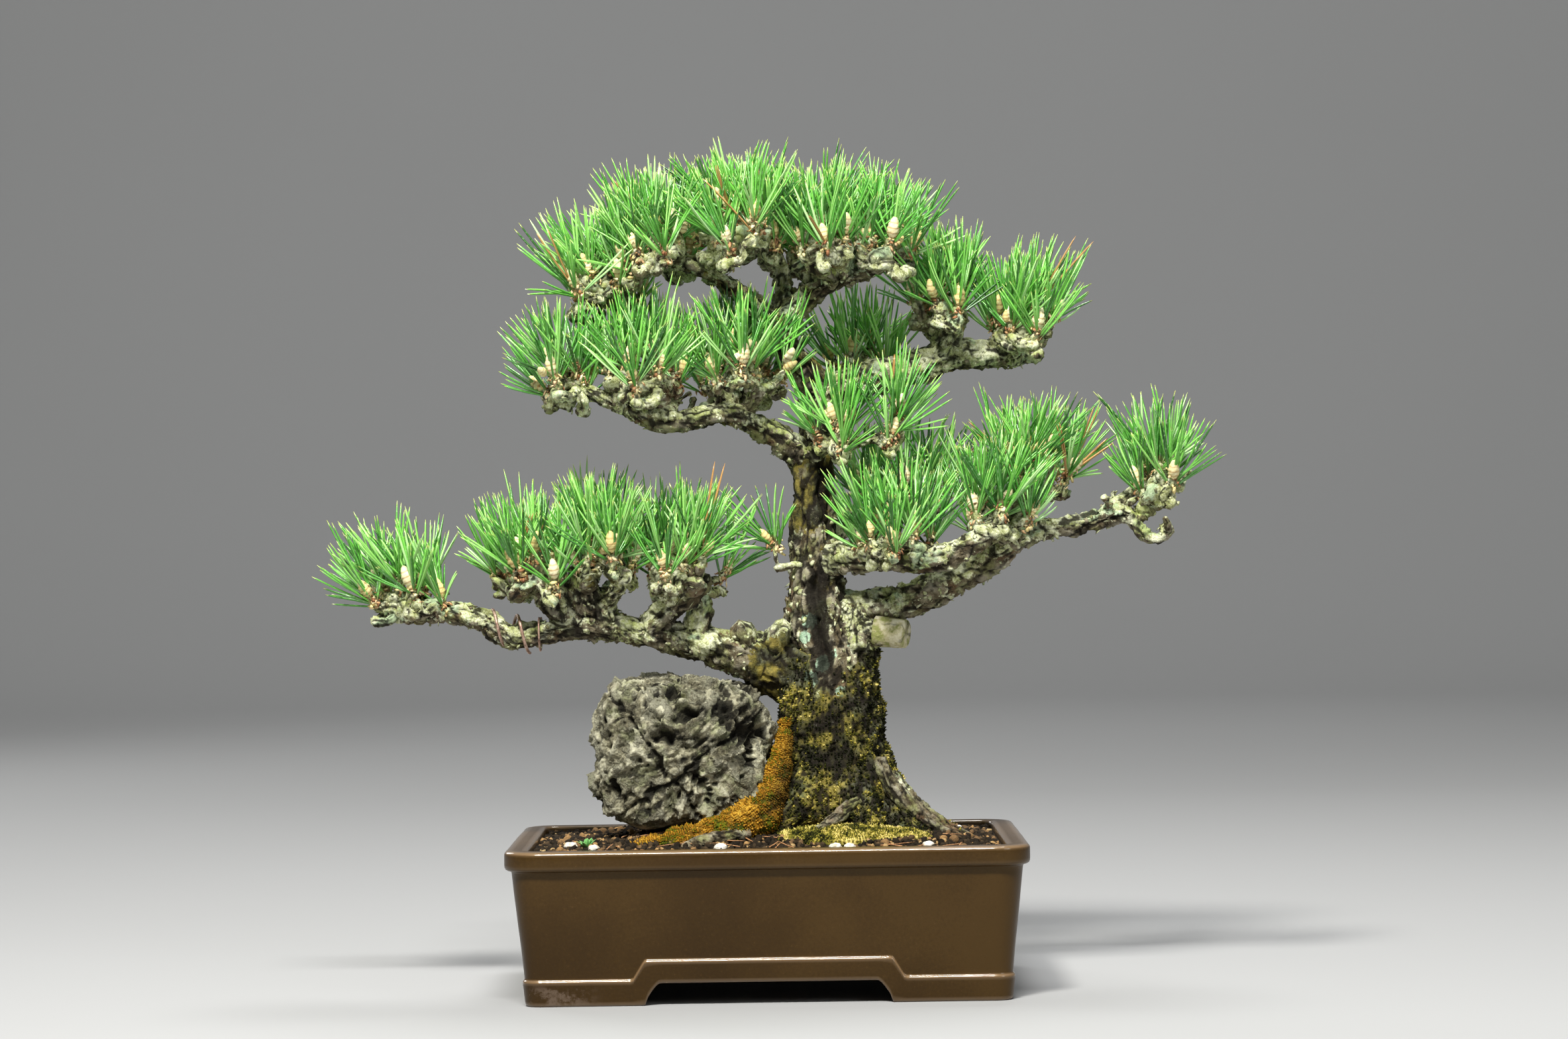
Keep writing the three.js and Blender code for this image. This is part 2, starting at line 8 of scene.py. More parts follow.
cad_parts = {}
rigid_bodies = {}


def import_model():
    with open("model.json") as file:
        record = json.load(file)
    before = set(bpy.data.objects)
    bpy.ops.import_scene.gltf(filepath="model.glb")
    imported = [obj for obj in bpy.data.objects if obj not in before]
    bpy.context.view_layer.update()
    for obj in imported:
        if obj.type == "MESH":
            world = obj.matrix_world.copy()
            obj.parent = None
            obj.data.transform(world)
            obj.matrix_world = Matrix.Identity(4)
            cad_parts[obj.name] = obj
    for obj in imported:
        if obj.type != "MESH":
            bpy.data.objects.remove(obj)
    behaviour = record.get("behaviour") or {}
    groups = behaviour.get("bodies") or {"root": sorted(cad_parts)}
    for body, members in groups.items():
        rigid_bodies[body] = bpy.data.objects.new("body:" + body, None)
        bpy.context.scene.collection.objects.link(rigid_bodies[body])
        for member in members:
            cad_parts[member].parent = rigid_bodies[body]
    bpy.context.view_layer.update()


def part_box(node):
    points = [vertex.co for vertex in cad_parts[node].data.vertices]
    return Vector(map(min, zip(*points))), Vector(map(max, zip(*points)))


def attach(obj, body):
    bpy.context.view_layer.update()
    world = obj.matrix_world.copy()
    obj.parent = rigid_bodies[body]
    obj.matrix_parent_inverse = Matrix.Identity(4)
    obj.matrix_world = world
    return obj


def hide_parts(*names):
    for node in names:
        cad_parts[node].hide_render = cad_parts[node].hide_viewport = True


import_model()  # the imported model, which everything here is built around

mm = 0.001
fullTurn = 2 * math.pi
goldenTurn = math.pi * (3 - math.sqrt(5))


# repeatable noise, worked out on whole arrays of points

def latticeHash(cells, seed):
    # an even spread of numbers from 0 to 1, one for each whole-number lattice point
    mask = np.int64(0xFFFFFFFF)
    mixed = (cells[..., 0] * 73856093) ^ (cells[..., 1] * 19349663)
    mixed = (mixed ^ (cells[..., 2] * 83492791) ^ (seed * 974711)) & mask
    mixed = ((mixed ^ (mixed >> 15)) * 2246822519) & mask
    mixed = ((mixed ^ (mixed >> 13)) * 3266489917) & mask
    return ((mixed ^ (mixed >> 16)) & 0xFFFFFF) / 0xFFFFFF


def softNoise(points, size, seed):
    # -1 to 1: the eight lattice corners round a point, blended by a smooth step
    scaled = points / size
    cell = np.floor(scaled).astype(np.int64)
    share = scaled - cell
    share = share * share * (3 - 2 * share)
    total = np.zeros(points.shape[:-1])
    for corner in np.ndindex(2, 2, 2):
        weight = np.prod(np.where(corner, share, 1 - share), axis=-1)
        total += weight * latticeHash(cell + np.array(corner), seed)
    return 2 * total - 1


def layeredNoise(points, size, seed, layers=4):
    # soft noise added to itself at half the size and half the strength each time
    total, strength, reach = 0, 1.0, 0.0
    for layer in range(layers):
        total = total + strength * softNoise(points, size / 2 ** layer, seed + layer)
        reach += strength
        strength *= 0.5
    return total / reach


def ridgedNoise(points, size, seed, layers=4):
    # 0 to 1, with sharp crests where each layer of soft noise crosses zero
    total, strength, reach = 0, 1.0, 0.0
    for layer in range(layers):
        crest = 1 - np.abs(softNoise(points, size / 2 ** layer, seed + layer))
        total = total + strength * crest * crest
        reach += strength
        strength *= 0.55
    return total / reach


def cellNoise(points, size, seed):
    # one random spot per cell: distance to the nearest spot and the second nearest, a number
    # from 0 to 1 for the nearest, and the way from it to the point
    scaled = points / size
    home = np.floor(scaled).astype(np.int64)
    nearest = np.full(points.shape[:-1], 9.0)
    second = nearest.copy()
    name = np.zeros(points.shape[:-1])
    offset = np.zeros(points.shape)
    for step in np.ndindex(3, 3, 3):
        cell = home + np.array(step) - 1
        spot = np.stack([latticeHash(cell, seed + k) for k in range(3)], axis=-1)
        way = scaled - cell - spot
        away = np.linalg.norm(way, axis=-1)
        closer = away < nearest
        second = np.where(closer, nearest, np.minimum(second, away))
        name = np.where(closer, spot[..., 0], name)
        offset = np.where(closer[..., None], way, offset)
        nearest = np.where(closer, away, nearest)
    return nearest, second, name, offset


def flakeNoise(points, size, seed):
    # flat scales, each leaning its own way: the offset from the scale's spot, times a
    # direction drawn from its number; also how near its edge a point is, and the number
    near, second, name, offset = cellNoise(points, size, seed)
    lean = np.stack([np.cos(name * 91), np.sin(name * 91), np.cos(name * 57)], -1)
    inside = smoothStep(0.0, 0.2, second - near)
    return (offset * lean).sum(-1) + 0.6 * (name - 0.5), inside, name


def smoothStep(low, high, value):
    # 0 below low, 1 above high, and 3 s^2 - 2 s^3 of the share s between them
    share = np.clip((value - low) / (high - low), 0, 1)
    return share * share * (3 - 2 * share)


def unit(vectors):
    # each vector divided by its length
    length = np.linalg.norm(vectors, axis=-1, keepdims=True)
    return vectors / np.maximum(length, 1e-12)


class Shells:
    # closed surfaces that make up one piece, with the values painted on their points
    def __init__(self):
        self.points, self.faces, self.paint = [], [], []
        self.count = 0

    def add(self, points, faces, **paint):
        # faces is a list of arrays of corner numbers, one array for each number of corners
        points = points.reshape(-1, 3)
        self.points.append(points)
        self.faces += [face + self.count for face in faces]
        self.paint.append((len(points), {k: np.broadcast_to(np.ravel(v), len(points))
                                         for k, v in paint.items()}))
        self.count += len(points)

    def mesh(self, name):
        # every shell in one smooth mesh, in metres, with its painted values on the points
        made = bpy.data.meshes.new(name)
        made.vertices.add(self.count)
        made.vertices.foreach_set("co", (np.concatenate(self.points) * mm).ravel())
        sizes = np.concatenate([np.full(len(f), f.shape[1]) for f in self.faces])
        corners = np.concatenate([f.ravel() for f in self.faces])
        made.loops.add(len(corners))
        made.loops.foreach_set("vertex_index", corners.astype(np.int32))
        made.polygons.add(len(sizes))
        starts = np.concatenate([[0], np.cumsum(sizes)[:-1]])
        made.polygons.foreach_set("loop_start", starts.astype(np.int32))
        made.update(calc_edges=True)
        made.shade_smooth()
        for key in sorted({k for _, values in self.paint for k in values}):
            column = [values.get(key, np.zeros(count)) for count, values in self.paint]
            layer = made.attributes.new(key, "FLOAT", "POINT")
            layer.data.foreach_set("value", np.concatenate(column).astype(np.float32))
        return made

    def piece(self, name, finish, slot, *nodes):
        # the finished object, riding on the one body and standing for its CAD nodes
        made = bpy.data.objects.new(name, self.mesh(name))
        bpy.context.scene.collection.objects.link(made)
        made.data.materials.append(finish)
        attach(made, "root")
        if nodes:
            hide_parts(*nodes)


def tubeFaces(rings, sides):
    # four-cornered faces round a stack of rings, and a fan to the pole at each end; the first
    # pole is the point after the rings and the last pole follows it
    ring = np.arange(rings - 1)[:, None] * sides
    side = np.arange(sides)[None, :]
    after = (side + 1) % sides
    quads = np.stack([ring + side, ring + after, ring + sides + after, ring + sides + side], -1)
    firstPole, lastPole = rings * sides, rings * sides + 1
    last = (rings - 1) * sides
    side, after = side[0], after[0]
    starts = np.stack([np.full(sides, firstPole), after, side], -1)
    ends = np.stack([np.full(sides, lastPole), last + side, last + after], -1)
    return [quads.reshape(-1, 4), np.concatenate([starts, ends])]


def smoothLine(bends, spacing):
    # a Catmull-Rom curve through the bends, walked in even steps; every column is carried
    bends = np.array(bends, float)
    padded = np.vstack([2 * bends[0] - bends[1], bends, 2 * bends[-1] - bends[-2]])
    t = np.linspace(0, 1, 30, endpoint=False)[:, None]
    spans = []
    for a, b, c, d in zip(padded, padded[1:], padded[2:], padded[3:]):
        spans.append(b + 0.5 * t * (c - a + t * (2 * a - 5 * b + 4 * c - d
                                                 + t * (3 * (b - c) + d - a))))
    line = np.vstack(spans + [bends[-1:]])
    walked = np.concatenate([[0], np.cumsum(np.linalg.norm(np.diff(line[:, :3], axis=0), axis=1))])
    steps = max(int(walked[-1] / spacing), 4)
    at = np.linspace(0, walked[-1], steps + 1)
    return np.column_stack([np.interp(at, walked, column) for column in line.T]), at


def carriedFrames(line):
    # the directions along, across and upwards at each step, carried without twist
    along = unit(np.gradient(line, axis=0))
    across = np.empty_like(along)
    level = np.array([0.0, 1.0, 0.0]) if abs(along[0][1]) < 0.9 else np.array([1.0, 0.0, 0.0])
    for i, forward in enumerate(along):
        level = level - forward * level.dot(forward)
        level = level / np.linalg.norm(level)
        across[i] = level
    return along, across, np.cross(along, across)


def wrapTube(bends, spacing, sides, relief=None, capRound=0.6):
    # a ring of points at each step of the line: middle + (radius + relief) * direction, where
    # relief is a function of places on the unrolled limb; both ends are domed shut
    line, walked = smoothLine(bends, spacing)
    centre, radius = line[:, :3], line[:, 3]
    along, across, upward = carriedFrames(centre)
    turn = np.arange(sides) / sides * fullTurn
    out = across[:, None] * np.cos(turn)[None, :, None] + upward[:, None] * np.sin(turn)[None, :, None]
    paint = {}
    reach = np.repeat(radius[:, None], sides, axis=1)
    if relief is not None:
        unrolled = np.stack([
            np.cos(turn)[None] * radius[:, None],
            np.sin(turn)[None] * radius[:, None],
            np.repeat(walked[:, None], sides, axis=1),
        ], -1)
        rise, paint = relief(unrolled, centre[:, None] + out * radius[:, None, None], out)
        reach = reach + rise
    points = centre[:, None] + out * reach[..., None]
    poles = np.stack([centre[0] - along[0] * radius[0] * capRound,
                      centre[-1] + along[-1] * radius[-1] * capRound])
    allPoints = np.concatenate([points.reshape(-1, 3), poles])
    painted = {k: np.concatenate([v.ravel(), v[0, :1], v[-1, :1]]) for k, v in paint.items()}
    return allPoints, tubeFaces(len(line), sides), painted, points, out


class Wire:
    # one value on its way through a material
    def __init__(self, finish, socket):
        self.finish, self.socket = finish, socket

    def sum(self, operation, *values):
        # one Math node over wires and numbers
        return self.finish.node("ShaderNodeMath", {"operation": operation},
                                dict(enumerate(values)))

    # sums and products, with a wire on either side
    def __add__(self, other):
        return self.sum("ADD", self, other)

    def __mul__(self, other):
        return self.sum("MULTIPLY", self, other)

    def __sub__(self, other):
        return self.sum("SUBTRACT", self, other)

    def __rsub__(self, other):
        return self.sum("SUBTRACT", other, self)

    __radd__ = __add__
    __rmul__ = __mul__

    def clipped(self):
        # held between 0 and 1
        return self.finish.node("ShaderNodeClamp", {}, {0: self})

    def between(self, low, high):
        # 0 below low, 1 above high, a smooth step between
        return self.finish.node(
            "ShaderNodeMapRange", {"interpolation_type": "SMOOTHSTEP"},
            {0: self, 1: low, 2: high})


class Finish:
    # a material with one surface shader; constants are set on the shader's own sockets, and
    # colours are laid over one another by painted values and noise
    def __init__(self, name, **constants):
        self.material = bpy.data.materials.new(name)
        self.material.use_nodes = True
        self.tree = self.material.node_tree
        self.tree.nodes.clear()
        self.shader = self.tree.nodes.new("ShaderNodeBsdfPrincipled")
        end = self.tree.nodes.new("ShaderNodeOutputMaterial")
        self.tree.links.new(self.shader.outputs[0], end.inputs[0])
        for key, value in constants.items():
            self.shader.inputs[key.replace("_", " ")].default_value = value
        self.place = self.node("ShaderNodeTexCoord", {}, {}, "Object")

    def node(self, kind, settings=None, inputs=None, output=0):
        # any node: its settings first, then the wires or values of its sockets
        made = self.tree.nodes.new(kind)
        for key, value in (settings or {}).items():
            if key == "stops":
                self.setStops(made.color_ramp, value)
            else:
                setattr(made, key, value)
        for key, value in (inputs or {}).items():
            if isinstance(value, Wire):
                self.tree.links.new(value.socket, made.inputs[key])
            else:
                made.inputs[key].default_value = value
        return Wire(self, made.outputs[output])

    def setStops(self, ramp, stops):
        # a colour ramp's stops, from pairs of position and colour
        while len(ramp.elements) > 1:
            ramp.elements.remove(ramp.elements[0])
        for i, (position, colour) in enumerate(stops):
            stop = ramp.elements[0] if i == 0 else ramp.elements.new(position)
            stop.position, stop.color = position, (*colour, 1)

    def painted(self, name):
        # a value painted on the mesh's points
        return self.node("ShaderNodeAttribute", {"attribute_name": name}, {}, "Fac")

    def noise(self, scale, detail=4, roughness=0.55):
        # 0 to 1, scale in features to a metre
        return self.node("ShaderNodeTexNoise", {}, {
            "Vector": self.place, "Scale": scale, "Detail": detail, "Roughness": roughness})

    def ramp(self, value, *stops):
        # a colour for each value, from pairs of position and colour
        return self.node("ShaderNodeValToRGB", {"stops": stops}, {0: value})

    def mix(self, factor, first, second):
        # two colours, each a Wire or three numbers
        first, second = (c if isinstance(c, Wire) else (*c, 1) for c in (first, second))
        return self.node("ShaderNodeMix", {"data_type": "RGBA"},
                         {0: factor, 6: first, 7: second}, 2)

    def bump(self, height, distance, strength=1.0, under=None):
        # a rough surface, distance metres high where height is 1, over the one under it
        inputs = {"Height": height, "Distance": distance, "Strength": strength}
        if under is not None:
            inputs["Normal"] = under
        return self.node("ShaderNodeBump", {}, inputs)

    def finish(self, **sockets):
        # what varies goes into the shader, and the material is done
        for key, value in sockets.items():
            self.tree.links.new(value.socket, self.shader.inputs[key.replace("_", " ")])
        return self.material


viewpoint = {
    "distance": 2.740,  # metres straight in front of the middle of the tray
    "sideways": 0.014,
    "height": 0.303,
    "lens": 94.25,  # millimetres, on a sensor this wide
    "sensor": 36,
    "lookUp": 0.15,  # degrees
    "roll": -0.85,  # degrees, anticlockwise
}


def makeCamera():
    # stood level, tipped up and rolled, then moved into place
    data = bpy.data.cameras.new("camera")
    data.lens = viewpoint["lens"]
    data.sensor_width = viewpoint["sensor"]
    camera = bpy.data.objects.new("camera", data)
    tilt = Matrix.Rotation(math.radians(90 + viewpoint["lookUp"]), 4, "X")
    roll = Matrix.Rotation(math.radians(viewpoint["roll"]), 4, "Z")
    place = Matrix.Translation((viewpoint["sideways"], -viewpoint["distance"], viewpoint["height"]))
    camera.matrix_world = place @ tilt @ roll
    bpy.context.scene.collection.objects.link(camera)
    bpy.context.scene.camera = camera


studio = {
    "middleRadius": 0.3, "floorRadius": 4.6, "coveRadius": 2.0, "wallHeight": 5.5,
    "sides": 96, "floorRings": 12, "coveRings": 15,
    "wallColour": (0.36, 0.362, 0.36),
    "surround": (0.95, 0.97, 1.0), "surroundStrength": 0.25,
}


def makeStage():
    # a round studio floor that curves up into its wall: a profile turned about the middle
    sides, cove = studio["sides"], studio["coveRadius"]
    flat = np.linspace(studio["middleRadius"], studio["floorRadius"], studio["floorRings"])
    bend = np.linspace(0, math.pi / 2, studio["coveRings"] + 1)[1:]
    reach = np.concatenate([flat, flat[-1] + cove * np.sin(bend), [flat[-1] + cove]])
    rise = np.concatenate([0 * flat, cove * (1 - np.cos(bend)), [studio["wallHeight"]]])
    turn = np.arange(sides) / sides * fullTurn
    grid = np.stack([reach[:, None] * np.cos(turn), reach[:, None] * np.sin(turn),
                     np.repeat(rise[:, None], sides, axis=1)], -1).reshape(-1, 3)
    quads, fans = tubeFaces(len(reach), sides)
    shells = Shells()
    # the wall's top stays open, so only the fan at the middle of the floor is kept
    shells.add(np.concatenate([grid, [[0, 0, 0]]]) / mm, [quads, fans[:sides]])
    paint = Finish("studioPaper", Roughness=0.9)
    tone = paint.noise(1.3, 2)
    colour = paint.mix(tone, tuple(0.97 * c for c in studio["wallColour"]), studio["wallColour"])
    floor = bpy.data.objects.new("studio_floor", shells.mesh("studio_floor"))
    floor.data.materials.append(paint.finish(Base_Color=colour))
    bpy.context.scene.collection.objects.link(floor)


# metres and watts; a lamp with a height of its own is a strip
lamps = {
    "key": {"place": (-0.55, -1.75, 2.45), "size": 0.5, "power": 112, "colour": (1.0, 0.98, 0.93)},
    "strip": {"place": (0.04, -1.75, 2.45), "size": 0.62, "power": 46, "tall": 0.12},
    "fill": {"place": (2.2, -2.3, 1.6), "size": 1.4, "power": 15, "colour": (0.95, 0.98, 1.0)},
    "top": {"place": (0.3, 0.7, 2.7), "size": 1.0, "power": 40},
    "back": {"place": (-1.9, 2.4, 1.6), "size": 1.4, "power": 20},
    "backdrop": {"place": (0, 3.2, 3.0), "aim": (0, 6.6, 1.6), "size": 2.4, "power": 42},
}


def addLight(name, place, size, power, aim=(0, 0, 0.3), colour=(1, 1, 1), tall=None):
    # an area light whose face looks at its aim
    data = bpy.data.lights.new(name, "AREA")
    data.shape, data.size = ("RECTANGLE" if tall else "DISK"), size
    data.size_y = tall or size
    data.energy, data.color = power, colour
    light = bpy.data.objects.new(name, data)
    away = Matrix.Translation(place)
    turn = (Vector(place) - Vector(aim)).to_track_quat("Z", "Y").to_matrix().to_4x4()
    light.matrix_world = away @ turn
    bpy.context.scene.collection.objects.link(light)


def makeLight():
    # every lamp, in a room that gives a little even light of its own
    for name, lamp in lamps.items():
        addLight(name, **lamp)
    world = bpy.data.worlds.new("studio")
    world.use_nodes = True
    surround = world.node_tree.nodes["Background"]
    surround.inputs[0].default_value = (*studio["surround"], 1)
    surround.inputs[1].default_value = studio["surroundStrength"]
    bpy.context.scene.world = world


makeCamera()
makeStage()
makeLight()
bpy.context.scene.view_settings.view_transform = "Standard"
print("camera, floor and light are placed")


def scatter(shells, template, faces, places, sizes, turns, **paint):
    # copies of one small shape: place + turn * (size * template point), all in one array
    count, corners = len(places), len(template)
    shaped = template[None] * sizes[:, None, :]
    points = np.einsum("nij,nkj->nki", turns, shaped) + places[:, None]
    step = (np.arange(count) * corners)[:, None, None]
    copies = [(face[None] + step).reshape(-1, face.shape[1]) for face in faces]
    paint = {k: np.repeat(np.broadcast_to(v, count), corners) for k, v in paint.items()}
    shells.add(points, copies, **paint)


def anyTurns(count, rng):
    # evenly spread turns, from random unit quaternions
    w, x, y, z = unit(rng.normal(0, 1, (count, 4))).T
    return np.stack([
        1 - 2 * (y * y + z * z), 2 * (x * y - z * w), 2 * (x * z + y * w),
        2 * (x * y + z * w), 1 - 2 * (x * x + z * z), 2 * (y * z - x * w),
        2 * (x * z - y * w), 2 * (y * z + x * w), 1 - 2 * (x * x + y * y),
    ], -1).reshape(count, 3, 3)


def standingTurns(up, rng):
    # turns that stand a shape's Z along each direction, spun at random about it
    side = unit(np.cross(up, rng.normal(0, 1, up.shape)))
    return np.stack([side, np.cross(up, side), up], -1)


def ballShape():
    # an icosahedron: 12 points and 20 triangles
    g = (1 + 5 ** 0.5) / 2
    points = np.array([(-1, g, 0), (1, g, 0), (-1, -g, 0), (1, -g, 0), (0, -1, g), (0, 1, g),
                       (0, -1, -g), (0, 1, -g), (g, 0, -1), (g, 0, 1), (-g, 0, -1), (-g, 0, 1)])
    faces = np.array([(0, 11, 5), (0, 5, 1), (0, 1, 7), (0, 7, 10), (0, 10, 11), (1, 5, 9),
                      (5, 11, 4), (11, 10, 2), (10, 7, 6), (7, 1, 8), (3, 9, 4), (3, 4, 2),
                      (3, 2, 6), (3, 6, 8), (3, 8, 9), (4, 9, 5), (2, 4, 11), (6, 2, 10),
                      (8, 6, 7), (9, 8, 1)])
    return unit(points), [faces]


def rimShape(sides, curl, top, under):
    # a rim of points that waves up and down by curl, between a point over it and one under it
    turn = np.arange(sides) / sides * fullTurn
    rim = np.stack([np.cos(turn), np.sin(turn), curl * np.sin(2 * turn)], -1)
    side = np.arange(sides)
    after = (side + 1) % sides
    over = np.stack([side, after, np.full(sides, sides)], -1)
    below = np.stack([after, side, np.full(sides, sides + 1)], -1)
    return np.vstack([rim, [top], [under]]), [np.concatenate([over, below])]


def flakeShape():
    # a low curled scale
    return rimShape(5, 0.25, (0.15, 0, 0.45), (0, 0, -0.5))


def spikeShape():
    # a pointed tuft: a small ring on the ground that narrows to a tip
    return rimShape(4, 0.0, (0.2, 0.1, 1), (0, 0, -0.4))


def ballWays(rings, sides):
    # directions in rings from the bottom to the top of a ball, then its two poles
    tilt = (np.arange(rings) + 0.5) / rings * math.pi
    turn = np.arange(sides) / sides * fullTurn
    way = np.stack([np.sin(tilt)[:, None] * np.cos(turn), np.sin(tilt)[:, None] * np.sin(turn),
                    np.repeat(-np.cos(tilt)[:, None], sides, axis=1)], -1)
    return np.concatenate([way.reshape(-1, 3), [[0, 0, -1], [0, 0, 1]]])


def barkFinish():
    # mottled wood with pale plates, then algae, lichen, sawn wood, moss and painted shade in the
    # crevices
    finish = Finish("bark", Roughness=0.88, Specular_IOR_Level=0.25)
    crevice, moss, lichen, plate = (
        finish.painted(k) for k in ("crevice", "moss", "lichen", "plate"))
    mottle = finish.noise(150, 6, 0.65)
    grit = finish.noise(800, 4, 0.7)
    wood = finish.ramp(mottle, (0.32, (0.045, 0.032, 0.016)), (0.45, (0.13, 0.105, 0.058)),
                       (0.56, (0.30, 0.26, 0.165)), (0.70, (0.58, 0.54, 0.40)))
    wood = finish.mix(plate.between(0.4, 1.0) * 0.6, wood, (0.52, 0.49, 0.37))
    wood = finish.mix(plate.between(0.0, 0.3) * -0.6 + 0.6, wood, (0.085, 0.06, 0.028))
    rust = finish.noise(34, 4, 0.6).between(0.54, 0.64)
    wood = finish.mix(rust * 0.45, wood, (0.19, 0.085, 0.035))
    algae = finish.noise(75, 5, 0.65).between(0.48, 0.62)
    wood = finish.mix(algae * 0.55, wood, (0.24, 0.27, 0.075))
    crust = (lichen + (finish.noise(260, 5, 0.65) - 0.5) * 1.3).between(0.46, 0.60)
    crustTone = finish.ramp(grit * 0.5 + finish.noise(130, 4, 0.6) * 0.5,
                            (0.38, (0.27, 0.29, 0.10)), (0.47, (0.56, 0.60, 0.28)),
                            (0.57, (0.92, 0.94, 0.66)))
    mint = finish.noise(38, 4, 0.6).between(0.56, 0.62)
    crustTone = finish.mix(mint * 0.6, crustTone, (0.46, 0.66, 0.42))
    leafy = finish.noise(46, 4, 0.6).between(0.54, 0.63)
    crustTone = finish.mix(leafy * 0.6, crustTone, (0.42, 0.50, 0.11))
    wood = finish.mix(crust * 0.92, wood, crustTone)
    spot = (finish.painted("mint") + (finish.noise(300, 5, 0.65) - 0.5) * 1.4).between(0.42, 0.5)
    wood = finish.mix(spot, wood, finish.ramp(grit, (0.35, (0.30, 0.50, 0.31)),
                                              (0.65, (0.66, 0.84, 0.62))))
    sawn = finish.ramp(finish.noise(150, 4, 0.6), (0.40, (0.40, 0.42, 0.14)),
                       (0.5, (0.72, 0.66, 0.38)), (0.62, (0.95, 0.90, 0.66)))
    wood = finish.mix(finish.painted("sawn") * 0.95, wood, sawn)
    green = (moss + (finish.noise(230, 5, 0.65) - 0.5) * 1.0).between(0.48, 0.6)
    mossTone = finish.ramp(finish.noise(62, 5, 0.62), (0.40, (0.008, 0.008, 0.002)),
                           (0.46, (0.035, 0.032, 0.005)), (0.52, (0.11, 0.095, 0.013)),
                           (0.60, (0.30, 0.24, 0.045)))
    wood = finish.mix(green * 0.9, wood, mossTone)
    # painted shade: near black where the crevice value is high
    wood = finish.mix(crevice.between(0.2, 0.85) * 0.94, wood, (0.009, 0.006, 0.003))
    wood = finish.mix(grit.between(0.62, 0.76) * 0.3, wood, (0.68, 0.65, 0.52))
    surface = finish.bump(grit + mottle * 2, 0.0014, 0.9)
    return finish.finish(Base_Color=wood, Normal=surface)


def barkRelief(radius, seed, stretch=0.5, lump=0.2, lumpSize=None, knuckle=0.16,
               knuckleSize=None, flake=0.8, flakeSize=4.2, furrow=0.04, mossy=None,
               carve=None, lichen=0.45, crackle=1.0, spots=None):
    # millimetres over the limb's mean surface: slow lumps, knuckles with creases between them,
    # flat scales that each lean their own way, and long furrows down the grain
    def relief(unrolled, places, out):
        # the rise at each point, and what is painted there
        wander = np.stack([softNoise(unrolled, 6, seed + k) for k in (40, 41, 42)], -1)
        bent = unrolled + 1.6 * wander
        size = knuckleSize or 0.8 * radius + 2.5
        near, second, _, _ = cellNoise(bent * [1, 1, 0.8], size, seed)
        bulge = 1 - near * near * 1.6
        crease = 1 - smoothStep(0.0, 0.28, second - near)
        lean, inside, name = flakeNoise(bent * [1, 1, stretch], flakeSize, seed + 5)
        lean2, inside2, name2 = flakeNoise(bent, flakeSize * 0.5, seed + 8)
        groove = ridgedNoise(bent * [1, 1, 0.16], 0.55 * radius + 3, seed + 9, 3)
        groove = smoothStep(0.66, 0.93, groove)
        hills = layeredNoise(unrolled, lumpSize or 1.4 * radius + 5, seed + 3, 3)
        rise = radius * (lump * hills + knuckle * (bulge - 0.55) - furrow * groove * 3)
        rise = rise + flake * (lean * 1.3 + 0.5 * (inside - 1))
        rise = rise + flake * 0.45 * (lean2 + 0.4 * (inside2 - 1))
        rise = np.maximum(rise, -0.55 * radius)
        cut = carve(places) if carve else 0.0
        rise = rise - cut
        # painted shade: the crevice value is high in the creases between knuckles, on the edges of
        # scales, in furrows, on low ground and in the carved cleft
        paint = {
            "crevice": np.clip(0.5 * crease * (knuckle > 0.05)
                               + crackle * (0.75 * (1 - inside) + 0.25 * (1 - inside2))
                               + 0.9 * groove * (furrow > 0.03) - 0.35 * hills + 0.3 * cut, 0, 1),
            "plate": np.clip(0.5 * name + 0.3 * name2 + 0.4 * lean + 0.25 * hills, 0, 1),
            "lichen": np.clip(lichen + 0.6 * layeredNoise(places, 22, 70, 3)
                              + 0.36 * out[..., 2], 0, 1),
        }
        if spots is not None:
            away = [np.linalg.norm(places - spot[:3], axis=-1) / spot[3] for spot in spots]
            paint["mint"] = np.exp(-np.min(away, axis=0) ** 2)
        base = mossy(places) if mossy else 0.18
        paint["moss"] = np.clip(base + 0.7 * layeredNoise(places, 26, 78, 3), 0, 1)
        return rise, paint
    return relief


def addLimb(shells, bends, spacing=1.3, seed=1, **options):
    # returns the limb's surface points, their outward directions and what is painted on them
    bends = np.array(bends, float)
    radius = bends[:, 3].mean()
    sides = int(np.clip(fullTurn * radius / spacing, 9, 220))
    points, faces, paint, grid, out = wrapTube(
        bends, spacing, sides, barkRelief(radius, seed, **options))
    shells.add(points, faces, **paint)
    count = grid.size // 3
    return grid.reshape(-1, 3), out.reshape(-1, 3), {k: v[:count] for k, v in paint.items()}


def addCrust(shells, grid, out, rng, density, size=1.5):
    # curled scales of bark and lichen stood on a limb's surface, density to each point
    count = int(len(grid) * density)
    if not count:
        return
    pick = rng.integers(0, len(grid), count)
    up = unit(out[pick] + rng.normal(0, 0.45, (count, 3)))
    sizes = size * rng.uniform(0.5, 1.5, (count, 1))
    sizes = sizes * rng.uniform([0.7, 0.5, 0.2], [1.3, 1.1, 0.6], (count, 3))
    template, faces = flakeShape()
    scatter(shells, template, faces, grid[pick] + 0.25 * out[pick], sizes,
            standingTurns(up, rng), plate=rng.uniform(0.3, 0.9, count),
            lichen=rng.uniform(0.35, 0.85, count), crevice=0.0, moss=rng.uniform(0, 0.4, count))


